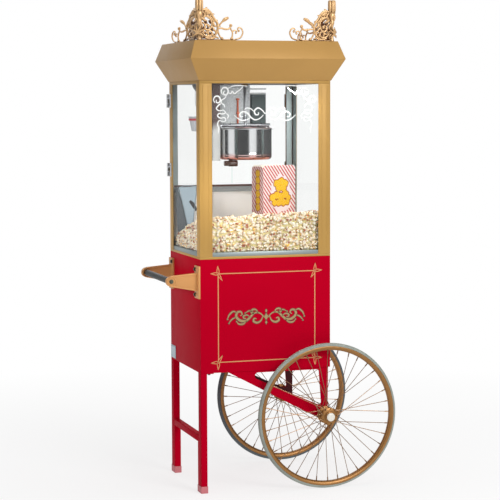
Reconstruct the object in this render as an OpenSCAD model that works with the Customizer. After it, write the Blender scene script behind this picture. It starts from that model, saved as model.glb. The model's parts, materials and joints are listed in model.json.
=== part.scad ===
// Antique-style popcorn machine on a two-wheeled cart.
// Cabinet coordinates: x runs right from the cabinet's left face, y runs back from its front
// face, z is up from the floor. placed() moves them so that the origin is under the middle.

/* [Cabinet] */
// Width of the cabinet and the cart body
cabinet_w = 470; // [440:1:500]
// Depth of the cabinet and the cart body
cabinet_d = 386; // [376:1:410]
// Height of the cart body's underside above the floor
cart_base_z = 416; // [400:1:430]
// Height of the cart body's top, where the machine stands
cart_top_z = 806; // [796:1:816]
// Height of the underside of the head rail
head_z = 1401; // [1390:1:1410]
// Thickness of the folded sheet metal
sheet = 1.5; // [1.2:0.1:2]

/* [Wheels] */
// Radius of the tyres
wheel_r = 254; // [250:1:260]
// Distance of the axle from the cabinet's left face
axle_x = 442; // [430:1:450]
// Distance of each wheel's middle plane outside the cabinet
wheel_out = 49; // [46:1:56]
// Number of spokes on each hub flange
flange_spokes = 18; // [12:2:20]

/* [Roof] */
// How far the roof's lower edge stands out from the cabinet
eave_out = 2; // [1:0.5:4]
// How far the roof's widest line stands out from the cabinet
ridge_out = 41; // [35:1:45]
// How far the roof's top edge stands out from the cabinet
crown_out = 20; // [16:1:24]
// Height of the roof's widest line
ridge_z = 1484; // [1480:1:1490]
// Height of the roof's top
crown_z = 1545; // [1540:1:1550]
// Height of the corner ornaments above the roof
ornament_h = 139; // [120:1:145]

/* [Kettle] */
// Outer radius of the kettle
kettle_r = 94; // [88:1:94]
// Distance of the kettle's middle from the left face
kettle_x = 221; // [219:1:225]
// Distance of the kettle's middle from the front face
kettle_y = 190; // [186:1:190]
// Height of the kettle's underside
kettle_base_z = 1138; // [1136:1:1140]
// Height of the tilting axis
pivot_z = 1258; // [1257:1:1259]

/* [Fits] */
// Radial clearance of a running fit
run_gap = 0.05; // [0.02:0.01:0.08]
// Gap between pieces that move past each other
move_gap = 0.5; // [0.3:0.1:1]

/* [Hidden] */
$fn = 64;
handle_reach = 114;
left_x = -(axle_x + wheel_r - handle_reach) / 2;
fine = 0.1;
base_top_z = cart_top_z + 8;
glass_t = 4;
glass_z = base_top_z + 3;
channel_top_z = base_top_z + 14;
post_front_w = 44;
post_side_d = 40;
post_rear_w = 30;
head_h = 10;
roof_z = head_z + head_h;
rear_panel_top_z = 1042;
door_z0 = 1046;
door_z1 = 1399;
hinge_out = 4.5;
hinge_back = 6;
hinge_r = 4.5;
hinge_pin_r = 2;
door_back = cabinet_d + 1.5;
door_t = 4;
leg_w = 22;
leg_d_upper = 34;
leg_d_lower = 44;
crossbar_z = 174;
crossbar_h = 23;
axle_r = 8;
axle_end = wheel_out + 26;
hub_half = 30;
rim_r = 229;
flange_r = 30;
arm_x0 = 97;
arm_x1 = 124;
arm_y0 = 168;
arm_y1 = 214;
trunnion_r = 6;
bush_r = 9;
shaft_r = 5;
stirrer_r = 4;
rim_z = kettle_base_z + 110;
coupling_z = pivot_z + 11.5;
rear_box_y = 348;
slope = atan((ridge_out - crown_out) / (crown_z - ridge_z));
bracket_t = 6;
bracket_y = 4;

// ---- helpers ----
module placed() translate([left_x, -cabinet_d / 2, 0]) children();
// A block from its low corner to its high corner
module block(lo, hi) translate(lo) cube(hi - lo);
// A cylinder along x, y or z that starts at p
module rod_x(p, r, len) translate(p) rotate([0, 90, 0]) cylinder(r = r, h = len);
module rod_y(p, r, len) translate(p) rotate([-90, 0, 0]) cylinder(r = r, h = len);
module rod_z(p, r, len) translate(p) cylinder(r = r, h = len);
// A straight rod between two points
module rod(p, q, r) {
    v = q - p;
    len = norm(v);
    translate(p) rotate([0, acos(v[2] / len), atan2(v[1], v[0])])
        cylinder(r = r, h = len, $fn = 16);
}
// The same thing on the left or the front, and mirrored on the right or the back
module mirrored_x() {
    children();
    translate([cabinet_w, 0, 0]) mirror([1, 0, 0]) children();
}
module mirrored_y() {
    children();
    translate([0, cabinet_d, 0]) mirror([0, 1, 0]) children();
}

// ---- cart ----
// The storage door's lower edge is higher than the wheels, so that it swings clear of them
door_margin = 24;
wheel_clearance = 12;
storage_door_z0 = 2 * wheel_r + wheel_clearance;
module cart_box() color("#a80c20") difference() {
    block([0, 0, cart_base_z], [cabinet_w, cabinet_d, cart_top_z]);
    block([sheet, sheet, cart_base_z + sheet],
        [cabinet_w - sheet, cabinet_d - sheet, cart_top_z - sheet]);
    block([door_margin, cabinet_d - 10, storage_door_z0 + door_margin],
        [cabinet_w - door_margin, cabinet_d + 10, cart_top_z - door_margin]);
}

leg_foot_z = 6;
leg_wall = 2;
leg_flange_w = 24;
leg_flange_t = 3;
foot_wall = 1.5;
foot_h = 24;
// One leg at the front left corner: a deep lower leg, a slimmer upper one and a top plate
module leg() {
    difference() {
        block([0, 0, leg_foot_z], [leg_w, leg_d_lower, crossbar_z]);
        block([leg_wall, leg_wall, leg_foot_z - 1],
            [leg_w - leg_wall, leg_d_lower - leg_wall, crossbar_z - leg_wall]);
    }
    difference() {
        block([0, 0, crossbar_z], [leg_w, leg_d_upper, cart_base_z]);
        block([leg_wall, leg_wall, crossbar_z + leg_wall],
            [leg_w - leg_wall, leg_d_upper - leg_wall, cart_base_z + 1]);
    }
    block([leg_w, 0, cart_base_z - leg_flange_t], [leg_w + leg_flange_w, leg_d_upper, cart_base_z]);
}
module leg_front() color("#a80c20") leg();
module leg_rear() color("#a80c20") translate([0, cabinet_d, 0]) mirror([0, 1, 0]) leg();
module leg_crossbar() color("#a80c20") difference() {
    block([0, leg_d_upper, crossbar_z], [leg_w, cabinet_d - leg_d_upper, crossbar_z + crossbar_h]);
    block([leg_wall, leg_d_upper + leg_wall, crossbar_z + leg_wall],
        [leg_w - leg_wall, cabinet_d - leg_d_upper - leg_wall, crossbar_z + crossbar_h - leg_wall]);
}
module leg_feet() color("#8c7f7c") mirrored_y() difference() {
    block([-foot_wall, -foot_wall, 0], [leg_w + foot_wall, leg_d_lower + foot_wall, foot_h]);
    block([-fine, -fine, leg_foot_z], [leg_w + fine, leg_d_lower + fine, foot_h + 1]);
}

boss_r = 22;
bracket_flange_t = 4;
bracket_flange_d = 34;
window_corners = [[207, 397, 12], [422, 400, 9], [430, 293, 9]];
// The side of one wheel bracket, seen from the front, with its window and axle bore
module bracket_side() difference() {
    rotate([90, 0, 0]) linear_extrude(bracket_t) difference() {
        union() {
            polygon([[97, cart_base_z], [464, cart_base_z], [axle_x + boss_r - 2, wheel_r],
                [axle_x - 9, wheel_r - boss_r + 2]]);
            translate([axle_x, wheel_r]) circle(r = boss_r);
        }
        hull() for (c = window_corners) translate([c[0], c[1]]) circle(r = c[2], $fn = 32);
    }
    rod_y([axle_x, -20, wheel_r], axle_r + run_gap, 40);
}
module wheel_bracket() {
    translate([0, bracket_y + bracket_t, 0]) bracket_side();
    block([110, bracket_y + bracket_t, cart_base_z - bracket_flange_t],
        [460, bracket_y + bracket_t + bracket_flange_d, cart_base_z]);
}
module wheel_brackets() color("#a80c20") mirrored_y() wheel_bracket();
collar_r = 14;
collar_l = 10;
spacer_r = 12;
module axle() color("#9a9c9e") {
    rod_y([axle_x, -axle_end, wheel_r], axle_r, cabinet_d + 2 * axle_end);
    mirrored_y() difference() {
        rod_y([axle_x, bracket_y + bracket_t + fine, wheel_r], collar_r, collar_l);
        rod_y([axle_x, 0, wheel_r], axle_r, 40);
    }
    mirrored_y() difference() {
        rod_y([axle_x, -wheel_out + hub_half + 1, wheel_r], spacer_r, wheel_out - hub_half + 2);
        rod_y([axle_x, -wheel_out, wheel_r], axle_r, 60);
    }
}

// ---- handle ----
grip_x = -97;
grip_z = 733;
arm_y = 18;
arm_t = 14;
tip_r = 17;
grip_r = 11;
handle_plate = [6, 51, 111];
handle_plate_z = 672;
arm_root_z = [699, 757];
handle_bolt_r = 4;
module handle_bracket() difference() {
    union() {
        translate([-handle_plate[0], 0, handle_plate_z]) cube(handle_plate);
        translate([0, arm_y + arm_t, 0]) rotate([90, 0, 0]) linear_extrude(arm_t) union() {
            polygon([[-5, arm_root_z[1]], [grip_x, grip_z + tip_r], [grip_x, grip_z - tip_r],
                [-5, arm_root_z[0]]]);
            translate([grip_x, grip_z]) circle(r = tip_r);
        }
    }
    rod_y([grip_x, arm_y - 1, grip_z], handle_bolt_r + fine, arm_t + 2);
}
module handle_brackets() color("#c49a5c") mirrored_y() handle_bracket();
module handle_grip() color("#1d1c1c") difference() {
    rod_y([grip_x, arm_y + arm_t + fine, grip_z], grip_r,
        cabinet_d - 2 * (arm_y + arm_t + fine));
    mirrored_y() rod_y([grip_x, arm_y + arm_t - 1, grip_z], handle_bolt_r + fine, 31);
}

// A dome-headed screw whose head stands on a face and whose shank goes into it
module screw(r, len) {
    intersection() {
        sphere(r = r * 2);
        translate([-2 * r, -2 * r, 0]) cube([4 * r, 4 * r, r * 1.1]);
    }
    translate([0, 0, -len]) cylinder(r = r, h = len);
}
bracket_bolt_z = [684, 771];
flange_bolt_x = [140, 440];
head_only = fine / 10;
module cart_fasteners() color("#5c5e50") {
    mirrored_y() {
        for (z = bracket_bolt_z) translate([-handle_plate[0], 41, z]) rotate([0, -90, 0])
            screw(handle_bolt_r, head_only);
        translate([grip_x, arm_y, grip_z]) rotate([90, 0, 0]) screw(handle_bolt_r, 40);
        for (x = flange_bolt_x) translate([x, 28, cart_base_z - bracket_flange_t])
            rotate([180, 0, 0]) screw(handle_bolt_r, head_only);
        translate([leg_w + leg_flange_w / 2, leg_d_upper / 2, cart_base_z - leg_flange_t])
            rotate([180, 0, 0]) screw(handle_bolt_r, head_only);
    }
}
plate_y0 = 322;
plate_z0 = 421;
plate_w = 62;
plate_h = 46;
rivet_in = 5;
module rating_plate() color("#9b9ea2") {
    block([-1, plate_y0, plate_z0], [0, plate_y0 + plate_w, plate_z0 + plate_h]);
    for (y = [rivet_in, plate_w - rivet_in], z = [rivet_in, plate_h - rivet_in])
        rod_x([-2, plate_y0 + y, plate_z0 + z], 2, 1);
}

// ---- wheels ----
// The wheel's parts are drawn round the z axis and turned so that the axle runs along y
module at_wheel(front) translate([axle_x, front ? -wheel_out : cabinet_d + wheel_out, wheel_r])
    rotate([front ? 90 : -90, 0, 0]) children();
rim_w = 23;
rim_h = 14;
rim_t = 3;
tyre_w = 19;
tread_r = 18;
module tyre() color("#a9afa8") rotate_extrude($fn = 180) intersection() {
    translate([rim_r + rim_t + 0.2, -tyre_w / 2]) square([wheel_r - rim_r - rim_t - 0.2, tyre_w]);
    translate([wheel_r - tread_r, 0]) circle(r = tread_r);
}
module rim() color("#b98450") rotate_extrude($fn = 180) difference() {
    translate([rim_r, -rim_w / 2]) square([rim_h, rim_w]);
    translate([rim_r + rim_t, -tyre_w / 2 - fine]) square([rim_h, tyre_w + 2 * fine]);
}
spoke_r = 1.3;
spoke_lace = 34;
spoke_head_r = flange_r - 3;
flange_mid = 20;
flange_half = 1.5;
// Crossed spokes from both faces of both hub flanges to the rim
module spokes() color("#b07c4c") for (side = [-1, 1], i = [0 : flange_spokes - 1]) {
    a = (i + (side > 0 ? 0.5 : 0)) * 360 / flange_spokes;
    outer = i % 2 == 0;
    h = a + (outer ? spoke_lace : -spoke_lace);
    z = flange_mid + (outer ? flange_half + spoke_r + 0.6 : -flange_half - spoke_r - 0.1);
    rod([spoke_head_r * cos(h), spoke_head_r * sin(h), side * z],
        [(rim_r - 0.4) * cos(a), (rim_r - 0.4) * sin(a), side * 3], spoke_r);
}
barrel_r = 14;
nose_r = 18;
cap_r = 15;
// The hub's barrel and two flanges, with a ribbed nose and a cap over the axle's end
module hub() color("#b98450") difference() {
    union() {
        translate([0, 0, -hub_half]) cylinder(r = barrel_r, h = 2 * hub_half);
        for (z = [-flange_mid, flange_mid]) translate([0, 0, z - flange_half])
            cylinder(r = flange_r, h = 2 * flange_half);
        translate([0, 0, hub_half - 6]) cylinder(r = nose_r, h = 4);
        translate([0, 0, hub_half]) cylinder(r = cap_r, h = 4);
        translate([0, 0, hub_half - 3.7]) intersection() {
            sphere(r = 17);
            translate([0, 0, 7]) cylinder(r = 20, h = 4);
        }
    }
    translate([0, 0, -hub_half - 1])
        cylinder(r = axle_r + run_gap, h = axle_end - wheel_out + hub_half + 2);
}

// ---- base of the machine ----
tray_x0 = 63;
tray_x1 = cabinet_w - tray_x0;
tray_gap = 3;
frame_w = 12;
frame_floor_t = 1.2;
module base_frame() color("#c49a5c") difference() {
    block([0, 0, cart_top_z], [cabinet_w, cabinet_d, base_top_z]);
    block([frame_w, frame_w, cart_top_z + frame_floor_t],
        [cabinet_w - frame_w, cabinet_d - frame_w, base_top_z + 1]);
    block([tray_x0 - tray_gap, cabinet_d - 20, cart_top_z + frame_floor_t],
        [tray_x1 + tray_gap, cabinet_d + 1, base_top_z + 1]);
}
deck_z = cart_top_z + 18;
deck_in = 9;
deck_back = 6;
deck_wall = 2;
hole_pitch = [20, 24];
hole_grid = [12, 6];
hole_front_y = 120;
hole_r = 3;
// The popcorn deck on its three walls, perforated for crumbs over the tray
module deck() color("#c9cccd") difference() {
    union() {
        block([deck_in, deck_in, deck_z], [cabinet_w - deck_in, cabinet_d - deck_back, deck_z + sheet]);
        for (x = [deck_in, cabinet_w - deck_in - deck_wall])
            block([x, deck_in, base_top_z], [x + deck_wall, cabinet_d - deck_back, deck_z]);
        block([deck_in, deck_in, base_top_z], [cabinet_w - deck_in, deck_in + deck_wall, deck_z]);
    }
    for (i = [0 : hole_grid[0] - 1], j = [0 : hole_grid[1] - 1])
        translate([cabinet_w / 2 + (i - (hole_grid[0] - 1) / 2) * hole_pitch[0],
            hole_front_y + j * hole_pitch[1], deck_z - 1]) cylinder(r = hole_r, h = 4, $fn = 24);
}
tray_z = cart_top_z + 2;
tray_top_z = deck_z - 2;
tray_y0 = 36;
tray_pull = [100, 14];
module crumb_tray() color("#b9bcbe") {
    difference() {
        block([tray_x0, tray_y0, tray_z], [tray_x1, cabinet_d - 1, tray_top_z]);
        block([tray_x0 + sheet, tray_y0 + sheet, tray_z + sheet],
            [tray_x1 - sheet, cabinet_d - 1 - sheet, deck_z + 1]);
    }
    block([tray_x0 - 6, cabinet_d + 1, tray_z], [tray_x1 + 6, cabinet_d + 1 + sheet, tray_top_z]);
    block([tray_x0, cabinet_d - 1, tray_z], [tray_x1, cabinet_d + 1, tray_top_z - 1]);
    block([(cabinet_w - tray_pull[0]) / 2, cabinet_d + 1 + sheet, tray_top_z - 2],
        [(cabinet_w + tray_pull[0]) / 2, cabinet_d + tray_pull[1], tray_top_z]);
}
// U channels that hold the lower edges of the three glass panes
channel_w = 6.6;
channel_in = 1.6;
module channel(len) difference() {
    cube([len, channel_w, channel_top_z - base_top_z]);
    translate([-1, 1, 3 - fine]) cube([len + 2, channel_w - 2, 20]);
}
glass_in = channel_in + 1.3;
module glass_channels() color("#b4b8ba") {
    translate([post_front_w, channel_in, base_top_z])
        channel(cabinet_w - 2 * post_front_w);
    mirrored_x() translate([channel_in, cabinet_d - post_side_d, base_top_z])
        rotate([0, 0, -90]) channel(cabinet_d - 2 * post_side_d);
}

// ---- cabinet ----
module angle_post(w, d) difference() {
    block([0, 0, base_top_z], [w, d, head_z]);
    block([sheet, sheet, base_top_z - 1], [w + 1, d + 1, head_z + 1]);
}
module posts_front() color("#c49a5c") mirrored_x() angle_post(post_front_w, post_side_d);
module posts_rear() color("#c49a5c") mirrored_x() translate([0, cabinet_d, 0])
    mirror([0, 1, 0]) angle_post(post_rear_w, post_side_d);
module glass_front() color("#dfe9ea", 0.3)
    block([12, glass_in, glass_z], [cabinet_w - 12, glass_in + glass_t, head_z - 0.5]);
module glass_sides() color("#dfe9ea", 0.3) mirrored_x()
    block([glass_in, 12, glass_z], [glass_in + glass_t, cabinet_d - 8, head_z - 0.5]);
rail_w = 14;
module head_rail() color("#c49a5c") difference() {
    block([0, 0, head_z], [cabinet_w, cabinet_d, roof_z]);
    block([rail_w, rail_w, head_z - 1], [cabinet_w - rail_w, cabinet_d - rail_w, roof_z + 1]);
}
module ceiling_plate() color("#c9cccd") difference() {
    block([rail_w + fine, rail_w + fine, head_z],
        [cabinet_w - rail_w - fine, cabinet_d - rail_w - fine, head_z + 2]);
    rod_z([kettle_x, kettle_y, head_z - 1], bush_r, 4);
}

// ---- roof ----
// Outline of the roof's section across a span: out over the ridge and in to the crown
function roof_section(span, inset, z0, z1) = [
    [-eave_out + inset, z0], [-ridge_out + inset, ridge_z], [-crown_out + inset, z1],
    [span + crown_out - inset, z1], [span + ridge_out - inset, ridge_z],
    [span + eave_out - inset, z0]];
module roof_solid(inset, z0, z1) intersection() {
    translate([0, cabinet_d + 60, 0]) rotate([90, 0, 0])
        linear_extrude(cabinet_d + 120) polygon(roof_section(cabinet_w, inset, z0, z1));
    translate([-60, 0, 0]) rotate([90, 0, 90])
        linear_extrude(cabinet_w + 120) polygon(roof_section(cabinet_d, inset, z0, z1));
}
// Moves a piece drawn round the origin, z outwards, onto the roof's sloping rear face
module on_rear_slope(x) translate([x, cabinet_d + (ridge_out + crown_out) / 2,
    (ridge_z + crown_z) / 2]) rotate([slope - 90, 0, 0]) children();
switch_x = 350;
switch_plate = [80, 46];
switch_hole = [62, 34];
module roof_shell() color("#bf9758") difference() {
    roof_solid(0, roof_z, crown_z);
    difference() {
        roof_solid(sheet, roof_z, crown_z);
        block([-100, -100, crown_z - sheet], [600, 600, crown_z + 1]);
    }
    on_rear_slope(switch_x) translate([-switch_hole[0] / 2, -switch_hole[1] / 2, -8])
        cube([switch_hole[0], switch_hole[1], 16]);
}
rocker_out = 15;
rocker_w = 20;
module switch_panel() color("#b9bcbe") on_rear_slope(switch_x) difference() {
    translate([-switch_plate[0] / 2, -switch_plate[1] / 2, fine])
        cube([switch_plate[0], switch_plate[1], 2]);
    for (x = [-rocker_out, rocker_out]) translate([x - rocker_w / 2 - 0.5, -14.7, -1])
        cube([rocker_w + 1, 29.4, 6]);
}
rocker_turn = 16;
rocker_bore = 1.5;
module rocker() difference() {
    rotate([rocker_turn / 2, 0, 0]) translate([-rocker_w / 2, 0, 0]) rotate([90, 0, 90])
        linear_extrude(rocker_w) polygon([[-13, 6], [0, 3.2], [13, 6], [12, -1], [6, -5], [-6, -5],
        [-12, -1]]);
    rod_x([-rocker_w / 2 - 1, 0, 0], rocker_bore, rocker_w + 2);
}
module rocker_kettle() color("#7c1d16") on_rear_slope(switch_x - rocker_out) rocker();
module rocker_motor() color("#242424") on_rear_slope(switch_x + rocker_out) rocker();

// ---- corner ornaments ----
// Points of a smooth curve through the points p, with n steps between each two
function catmull(a, b, c, d, t) = 0.5 * ((2 * b) + (c - a) * t
    + (2 * a - 5 * b + 4 * c - d) * t * t + (3 * b - a - 3 * c + d) * t * t * t);
function smooth(p, n = 3) = concat([for (i = [0 : len(p) - 2], k = [0 : n - 1])
    catmull(p[max(i - 1, 0)], p[i], p[i + 1], p[min(i + 2, len(p) - 1)], k / n)],
    [p[len(p) - 1]]);
function side_dir(p, i) = let (v = p[min(i + 1, len(p) - 1)] - p[max(i - 1, 0)])
    [-v[1], v[0]] / norm(v);
function ribbon(p, w) = concat([for (i = [0 : len(p) - 1]) p[i] + side_dir(p, i) * w / 2],
    [for (i = [len(p) - 1 : -1 : 0]) p[i] - side_dir(p, i) * w / 2]);
module stroke(p, w) {
    line = smooth(p);
    polygon(ribbon(line, w));
    for (e = [line[0], line[len(line) - 1]]) translate(e) circle(r = w / 2, $fn = 12);
}
// The scrolls of one wing, as distance from the corner and height above the roof
scrolls = [
    [[0, 92], [18, 99], [34, 101], [48, 89], [59, 72], [71, 58], [73, 41], [68, 24], [52, 9],
        [30, 4]],
    [[5, 99], [19, 90], [20, 76], [8, 70]],
    [[8, 66], [24, 79], [42, 74], [51, 58], [47, 40], [33, 33], [24, 44], [32, 54]],
    [[4, 52], [12, 30], [28, 14], [46, 16], [49, 28], [40, 29]],
    [[73, 43], [84, 56], [95, 67], [105, 72]],
    [[74, 38], [99, 37], [116, 39], [121, 47]],
    [[72, 32], [79, 15], [88, 3]],
    [[119, 38], [126, 24], [124, 3]],
    [[125, 26], [135, 32], [145, 29]],
    [[146, 37], [152, 43], [161, 37], [164, 24], [157, 10], [140, 3]]];
wing_t = 6;
spike_post = 9;
// One wing, cut off inside the square post that stands at the corner
module wing(stretch) linear_extrude(wing_t) offset(delta = 0.01) intersection() {
    union() {
        for (s = scrolls) stroke([for (p = s) [p[0] * stretch, p[1]]], 6);
        translate([105 * stretch, 72]) circle(r = 6, $fn = 20);
        square([142 * stretch, 4]);
    }
    translate([spike_post - 2, 0.01]) square([170 * stretch, 120]);
}
front_wing = 0.95;
side_wing = 2.12;
// An ornament for the left front corner: two wings that meet at a post under a fluted spike
module ornament() translate([-6, -14, crown_z]) {
    inset = (spike_post - wing_t) / 2;
    mid = spike_post / 2;
    translate([0, wing_t + inset, 0]) rotate([90, 0, 0]) wing(front_wing);
    translate([inset, 0, 0]) rotate([90, 0, 90]) wing(side_wing);
    cube([spike_post, spike_post, 108]);
    translate([mid, mid, 58]) cylinder(r1 = 7, r2 = 10, h = 26);
    translate([mid, mid, 84]) cylinder(r1 = 10, r2 = 5, h = 16);
    for (a = [0 : 90 : 270]) translate([mid + 3.5 * cos(a), mid + 3.5 * sin(a), 96]) {
        cylinder(r = 4, h = ornament_h - 100);
        translate([0, 0, ornament_h - 100]) sphere(r = 4, $fn = 24);
    }
}
module ornament_left() color("#b48c4c") ornament();
module ornament_right() color("#b48c4c") translate([cabinet_w, 0, 0]) mirror([1, 0, 0])
    ornament();

// ---- back of the cabinet ----
panel_y = cabinet_d - sheet - 3;
panel_in = 10;
lip_d = 12;
lip_h = 27;
gland_x = 420;
gland_z = 856;
gland_r = 8;
gland_nut_r = 12;
gland_bore_r = 4.5;
// The sheet below the doors, with a hollow lip along its top edge
module rear_panel() color("#c4c7c8") difference() {
    union() {
        block([panel_in, panel_y, channel_top_z],
            [cabinet_w - panel_in, panel_y + sheet, rear_panel_top_z]);
        block([panel_in, panel_y - lip_d, rear_panel_top_z - lip_h],
            [cabinet_w - panel_in, panel_y, rear_panel_top_z]);
    }
    block([panel_in + 2, panel_y - lip_d + 1, rear_panel_top_z - lip_h - 1],
        [cabinet_w - panel_in - 2, panel_y - 1, rear_panel_top_z - 2]);
    rod_y([gland_x, panel_y - 1, gland_z], gland_r + fine, 4);
}
module power_gland() color("#262626") difference() {
    union() {
        rod_y([gland_x, panel_y - 8, gland_z], gland_r, 18);
        rod_y([gland_x, panel_y + sheet + fine, gland_z], gland_nut_r, 4);
        rod_y([gland_x, panel_y - 4, gland_z], gland_nut_r - 1, 4 - fine);
    }
    rod_y([gland_x, panel_y - 9, gland_z], gland_bore_r, 30);
}

// ---- hinges: knuckles on a vertical axis outside the rear left corner ----
hinge_l = 48;
hinge_axis = [-hinge_out, cabinet_d + hinge_back];
leaf_w = 24;
leaf_t = 1.5;
module hinge_fixed(z) {
    difference() {
        union() {
            for (dz = [0, hinge_l * 2 / 3]) translate([0, 0, z + dz]) {
                translate(hinge_axis) cylinder(r = hinge_r, h = hinge_l / 3);
                block([-leaf_t, cabinet_d - leaf_w, 0], [0, cabinet_d + hinge_back, hinge_l / 3]);
            }
            block([-leaf_t, cabinet_d - leaf_w, z], [0, cabinet_d - 1, z + hinge_l]);
        }
        translate([hinge_axis[0], hinge_axis[1], z - 1]) cylinder(r = hinge_pin_r, h = hinge_l + 2);
    }
    translate([hinge_axis[0], hinge_axis[1], z]) cylinder(r = hinge_pin_r, h = hinge_l);
}
door_leaf_x = 32;
module hinge_moving(z) {
    z0 = z + hinge_l / 3 + 0.3;
    z1 = z + hinge_l * 2 / 3 - 0.3;
    leaf_y = door_back + door_t + fine;
    difference() {
        union() {
            translate([hinge_axis[0], hinge_axis[1], z0]) cylinder(r = hinge_r, h = z1 - z0);
            block([hinge_axis[0], leaf_y, z0], [4, leaf_y + leaf_t, z1]);
            block([3, leaf_y, z], [door_leaf_x, leaf_y + leaf_t, z + hinge_l]);
        }
        translate([hinge_axis[0], hinge_axis[1], z]) cylinder(r = hinge_pin_r + run_gap, h = hinge_l);
    }
}
door_hinge_z = [1074, 1320];
storage_hinge_z = [552, 714];
module hinges_fixed() color("#c8cacc") {
    mirrored_x() for (z = door_hinge_z) hinge_fixed(z);
    translate([cabinet_w, 0, 0]) mirror([1, 0, 0]) for (z = storage_hinge_z) hinge_fixed(z);
}
knob_stem_r = 4;
knob_r = 9;
module pull_knob(x, z) {
    y = door_back + door_t;
    rod_y([x, y + fine, z], knob_stem_r, 8);
    translate([x, y + 14, z]) sphere(r = knob_r);
}
door_knob_z = 1220;
storage_knob_z = 660;
module rear_door() block([1.5, door_back, door_z0],
    [cabinet_w / 2 - 1, door_back + door_t, door_z1]);
module door_fittings() {
    for (z = door_hinge_z) hinge_moving(z);
    pull_knob(cabinet_w / 2 - 22, door_knob_z);
}
module rear_door_left() color("#dfe9ea", 0.3) rear_door();
module rear_door_right() color("#dfe9ea", 0.3) translate([cabinet_w, 0, 0]) mirror([1, 0, 0])
    rear_door();
module door_fittings_left() color("#c8cacc") door_fittings();
module door_fittings_right() color("#c8cacc") translate([cabinet_w, 0, 0]) mirror([1, 0, 0])
    door_fittings();
module storage_door() color("#a80c20") difference() {
    block([4, door_back, storage_door_z0], [cabinet_w - 1.5, door_back + door_t, cart_top_z - 6]);
    block([5.5, door_back - 1, storage_door_z0 + 1.5],
        [cabinet_w - 36, door_back + door_t - 1.5, cart_top_z - 7.5]);
}
module storage_fittings() color("#c8cacc") {
    translate([cabinet_w, 0, 0]) mirror([1, 0, 0]) for (z = storage_hinge_z) hinge_moving(z);
    pull_knob(30, storage_knob_z);
}

// ---- kettle and its drive ----
arm_wall = 2;
arm_foot_t = 3;
arm_foot_out = 14;
module hanger_arm() color("#b4b8ba") difference() {
    union() {
        difference() {
            block([arm_x0, arm_y0, kettle_base_z - 3], [arm_x1, arm_y1, head_z]);
            block([arm_x0 + arm_wall, arm_y0 + arm_wall, kettle_base_z - 4],
                [arm_x1 - arm_wall, arm_y1 + 1, head_z - arm_foot_t]);
        }
        block([arm_x0 - arm_foot_out, arm_y0, head_z - arm_foot_t],
            [arm_x1 + arm_foot_out, arm_y1, head_z]);
    }
    rod_x([arm_x0 - 1, kettle_y, pivot_z], bush_r, 40);
}
module bush(len) difference() {
    union() {
        cylinder(r = bush_r - 0.02, h = len);
        translate([0, 0, len - 2]) cylinder(r = bush_r + 1.5, h = 2);
    }
    translate([0, 0, -1]) cylinder(r = trunnion_r + run_gap, h = len + 2);
}
module bushes() color("#b08a3c") {
    translate([arm_x0 + 8, kettle_y, pivot_z]) rotate([0, -90, 0]) bush(10 + fine);
    translate([arm_x1 - 8, kettle_y, pivot_z]) rotate([0, 90, 0]) bush(10 + fine);
    translate([kettle_x, kettle_y, head_z - 5]) difference() {
        union() {
            cylinder(r = bush_r - 0.02, h = 7);
            cylinder(r = bush_r + 3, h = 5 - fine);
        }
        translate([0, 0, -1]) cylinder(r = shaft_r + run_gap, h = 10);
    }
}
module at_kettle() translate([kettle_x, kettle_y, 0]) children();
wall = 1.2;
pan_r = kettle_r - 8;
pan_z = kettle_base_z + 22;
corner_r = 12;
// The kettle's polished outer shell, with a rounded foot
module kettle_shell() color("#b9bbbd") at_kettle() rotate_extrude($fn = 120) difference() {
    union() {
        translate([0, kettle_base_z]) square([kettle_r - corner_r, 20]);
        translate([0, kettle_base_z + corner_r])
            square([kettle_r, rim_z - 3 - kettle_base_z - corner_r]);
        translate([kettle_r - corner_r, kettle_base_z + corner_r]) circle(r = corner_r);
    }
    translate([0, kettle_base_z + wall]) square([kettle_r - corner_r, 20]);
    translate([0, kettle_base_z + corner_r]) square([kettle_r - wall, 200]);
    translate([kettle_r - corner_r, kettle_base_z + corner_r]) circle(r = corner_r - wall);
    translate([-20, kettle_base_z - 5]) square([20, 200]);
}
module kettle_pan() color("#a9acae") at_kettle() rotate_extrude($fn = 120) difference() {
    union() {
        translate([0, pan_z - 2]) square([pan_r, rim_z - 1 - pan_z + 2]);
        translate([0, rim_z - 3]) square([kettle_r + 2, 2]);
    }
    translate([-1, pan_z]) square([pan_r - wall + 1, 200]);
}
module kettle_heater() color("#5a4a42") at_kettle() difference() {
    rod_z([0, 0, kettle_base_z + 7], kettle_r - 16, 12);
    rod_z([0, 0, kettle_base_z + 6], 20, 20);
}
// The tilting shaft, with two ears on the kettle's rim and a boss for the stirrer
ear_x = [-91, 86];
ear_t = 4;
ear_half_w = 9;
module kettle_trunnion() color("#8e9193") difference() {
    union() {
        rod_x([arm_x0 - 3, kettle_y, pivot_z], trunnion_r, kettle_x + 92 - arm_x0 + 3);
        for (x = ear_x) block([kettle_x + x, kettle_y - ear_half_w, rim_z - 1],
            [kettle_x + x + ear_t, kettle_y + ear_half_w, pivot_z]);
        rod_z([kettle_x, kettle_y, pivot_z - 6], 7, 12);
    }
    rod_z([kettle_x, kettle_y, pivot_z - 20], stirrer_r + run_gap, 40);
}
lid_r = kettle_r - 1;
lid_z = rim_z - 1;
lid_t = 1.2;
lid_top = lid_z + fine + lid_t;
hinge_line = 12;
knuckle_r = 1.6;
knuckle_z = lid_top + knuckle_r;
lid_pin_r = 0.8;
lid_knuckle_w = 20;
module lid_disc() at_kettle() difference() {
    rod_z([0, 0, lid_z + fine], lid_r, lid_t);
    rod_z([0, 0, lid_z - 1], 11, 4);
    for (x = ear_x) translate([x - move_gap, -ear_half_w - move_gap, lid_z - 1])
        cube([ear_t + 2 * move_gap, 2 * (ear_half_w + move_gap), 4]);
}
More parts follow.
